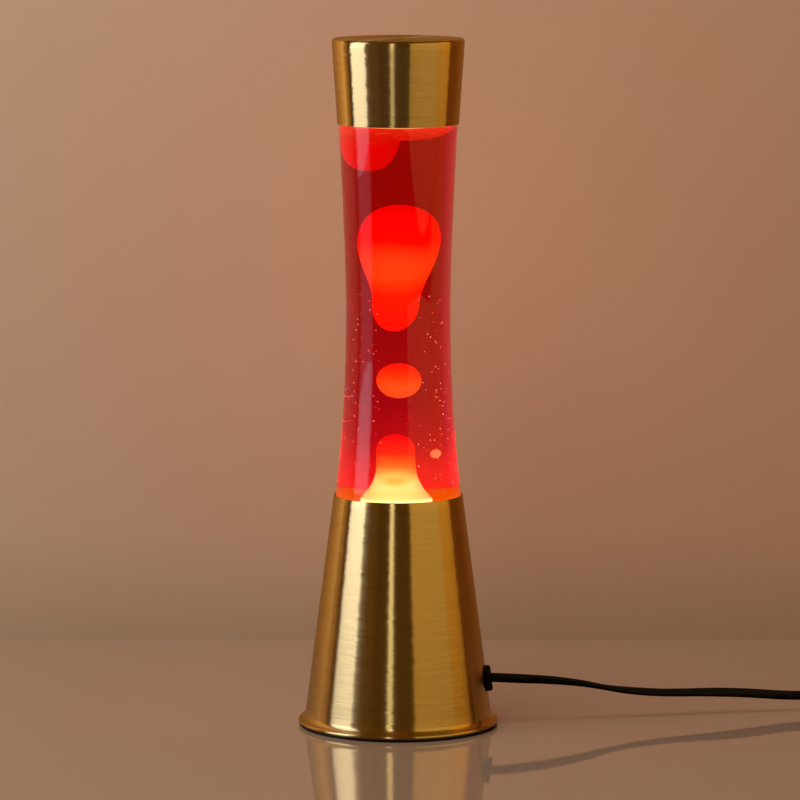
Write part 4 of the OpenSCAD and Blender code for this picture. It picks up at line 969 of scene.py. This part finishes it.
# soft boxes: each faces its own height and is mirrored, unless it says otherwise
lamps = {
    "leftBox": {"turn": -75.2, "away": 1.35, "mid": 0.845, "size": (0.75, 1.55), "power": 8.7,
                "colour": (0.82, 0.89, 1.12), "lights": "brass"},
    "leftGlass": {"turn": -75.2, "away": 1.35, "mid": 0.885, "size": (0.75, 1.55), "power": 8.2,
                  "colour": (0.86, 0.88, 1.05), "lights": "rest"},
    "leftLow": {"turn": -75.2, "away": 1.35, "mid": 0.055, "size": (0.75, 0.11), "power": 0.165,
                "colour": (0.86, 0.88, 1.05), "lights": "rest"},
    "leftFill": {"turn": -46, "away": 1.35, "mid": 0.845, "size": (0.525, 1.55), "power": 0.1,
                 "colour": (1, 0.6, 0.15), "lights": "brass"},
    "slimBox": {"turn": -10.7, "away": 2.2, "mid": 0.92, "size": (0.25, 1.5), "power": 2,
                "colour": (1, 0.97, 0.76), "lights": "brass"},
    "rightPanel": {"turn": 47.75, "away": 1.45, "mid": 0.8, "size": (1.494, 1.5), "power": 4.05,
                   "colour": (1, 0.67, 0.225), "lights": "lamp"},
    "warmPanel": {"turn": 91, "away": 1.45, "mid": 0.8, "size": (0.83, 1.5), "power": 2.35,
                  "colour": (1, 0.51, 0.075), "lights": "lamp"},
    "topBox": {"turn": -45, "away": 0.9, "mid": 1.9, "size": (1.8, 1.4), "power": 45,
               "colour": (1, 0.92, 0.84), "lights": "all", "aim": 0.2, "mirrored": False},
}
lampGlow = {"place": (0, 0.06, 0.26), "power": 0.3, "colour": (1, 0.03, 0.02), "radius": 0.03}


def lightPath(tree):
    return addNode(tree, "ShaderNodeLightPath").outputs


# 1 for light that brushed metal mirrors, 0 for what the camera, the table or the glass shows
def inMetal(tree):
    path = lightPath(tree)
    values = {0: path["Is Glossy Ray"], 1: path["Is Singular Ray"]}
    return addNode(tree, "ShaderNodeMath", values, operation="SUBTRACT", use_clamp=True).outputs[0]


# paint with a slow mottle and a fine grain that blurs what it mirrors
def makePaint(name, dark, light, rough, depth):
    material, tree, shader = newMaterial(name)
    marks = useGroup(tree, mouldGrain, {"Grain": 4000, "Mottle": 3})
    grain = bump(tree, marks["Grain"], shader, 1, depth)
    setSockets(shader, {"Coat Normal": grain, "Roughness": rough})
    return material, tree, shader, mixColour(tree, marks["Mottle"], dark, light)


# a polished table with painted shade: darker in what the lamp mirrors
def makeTablePaint():
    room = studio
    dark, light = (scaled(room["tableColour"], factor) for factor in room["tableMottle"])
    material, tree, shader, shade = makePaint("tablePaint", dark, light, 0, room["tableGrain"])
    dim = multiplied(tree, shade, room["tableShade"])
    setSockets(shader, {
        "Base Color": mixColour(tree, lightPath(tree)["Is Glossy Ray"], shade, dim),
        "Coat Weight": room["tableCoat"], "Coat Roughness": 0})
    return material


# the wall carries painted light: cooler at the left, painted shade at its foot for the camera, and in
# mirrored light a painted brighter band and darker ends; it is clear from behind
def makeWallPaint():
    room = studio
    material, tree, shader, shade = makePaint(
        "wallPaint", room["wallDark"], white, room["wallRough"], room["wallGrain"])
    across = acrossShare(tree, -room["wallSpan"], room["wallSpan"])
    plain = multiplied(tree, shade, mixColour(tree, across, room["wallLeft"], room["wallRight"]))
    # painted shade at the wall's foot, seen by the camera only
    rise = riseShare(tree, 0, room["footHigh"], Sway=room["footSway"])
    foot = mixColour(tree, rise, room["footShade"], white)
    seen = mixColour(tree, lightPath(tree)["Is Camera Ray"], plain, multiplied(tree, plain, foot))
    # painted reflection for the brass: the wall's colour is reshaped across its width
    stops = [(place, scaled(colour, room["mirrorGain"])) for place, colour in room["mirrorStops"]]
    dim = multiplied(tree, plain, ramp(tree, acrossShare(tree, room["mirrorFrom"], room["mirrorTo"]), stops))
    feed(shader.inputs["Base Color"], mixColour(tree, inMetal(tree), seen, dim))
    behind = addNode(tree, "ShaderNodeNewGeometry").outputs["Backfacing"]
    clear = addNode(tree, "ShaderNodeBsdfTransparent").outputs["BSDF"]
    mix = addNode(tree, "ShaderNodeMixShader", {"Fac": behind, 1: shader.outputs["BSDF"], 2: clear})
    feed(tree.nodes["Material Output"].inputs["Surface"], mix.outputs["Shader"])
    return material


def makeStage():
    reach, wall, high = studio["reach"], studio["wallY"], studio["wallHigh"]
    level = [(-reach, -reach, 0), (reach, -reach, 0), (reach, reach, 0), (-reach, reach, 0)]
    upright = [(-reach, wall, 0), (reach, wall, 0), (reach, wall, high), (-reach, wall, high)]
    made = {}
    for name, paint, corners in (("table", makeTablePaint(), level), ("wall", makeWallPaint(), upright)):
        mesh = bpy.data.meshes.new(name)
        mesh.from_pydata(corners, [], [(0, 1, 2, 3)])
        mesh.materials.append(paint)
        made[name] = addObject(name, mesh)
    return made


# a box can light the brass alone, all but the table, or the rest: all but the table and the brass
def limitLight(obj, lights):
    if lights == "all":
        return
    brass, table = [spunBase, spunCap], [stage["table"]]
    group = bpy.data.collections.new(obj.name + "Receivers")
    for piece in {"brass": brass, "lamp": table, "rest": table + brass}[lights]:
        group.objects.link(piece)
    if lights != "brass":
        for entry in group.collection_objects:
            entry.light_linking.link_state = "EXCLUDE"
    obj.light_linking.receiver_collection = group


def makeBox(name, box):
    data = bpy.data.lights.new(name, "AREA")
    data.shape = "RECTANGLE"
    data.size, data.size_y = box["size"]
    data.energy, data.color = box["power"], box["colour"]
    obj = addObject(name, data)
    turn = math.radians(box["turn"])
    obj.location = (box["away"] * math.sin(turn), -box["away"] * math.cos(turn), box["mid"])
    aim = Vector((0, 0, box.get("aim", box["mid"]))) - obj.location
    obj.rotation_euler = aim.to_track_quat("-Z", "Y").to_euler()
    obj.visible_camera = False
    obj.visible_glossy = box.get("mirrored", True)
    limitLight(obj, box["lights"])


def makeGlow():
    data = bpy.data.lights.new("lampGlow", "POINT")
    data.energy, data.color, data.shadow_soft_size = lampGlow["power"], lampGlow["colour"], lampGlow["radius"]
    obj = addObject("lampGlow", data)
    obj.location = lampGlow["place"]
    obj.visible_camera = obj.visible_glossy = obj.visible_transmission = False


# room light: pale for the camera and, above the horizon, in the table; dark in metal
def makeRoom():
    world = bpy.data.worlds.new("room")
    scene.world = world
    world.use_nodes = True
    tree = world.node_tree
    path = lightPath(tree)
    up = splitPlace(tree, addNode(tree, "ShaderNodeTexCoord").outputs["Generated"])["Z"]
    share = remap(tree, up, 0, 1, studio["worldFrom"], studio["worldFull"])
    above = mixColour(tree, share, studio["world"], studio["worldSeen"])
    shown = mixColour(tree, path["Is Singular Ray"], studio["world"], above)
    mirrored = mixColour(tree, inMetal(tree), shown, studio["worldMirrored"])
    seen = mixColour(tree, path["Is Camera Ray"], mirrored, studio["worldSeen"])
    feed(tree.nodes["Background"].inputs["Color"], seen)


stage = makeStage()
for name, box in lamps.items():
    makeBox(name, box)
makeGlow()
makeRoom()
print("studio: table, wall and", len(lamps), "soft boxes")
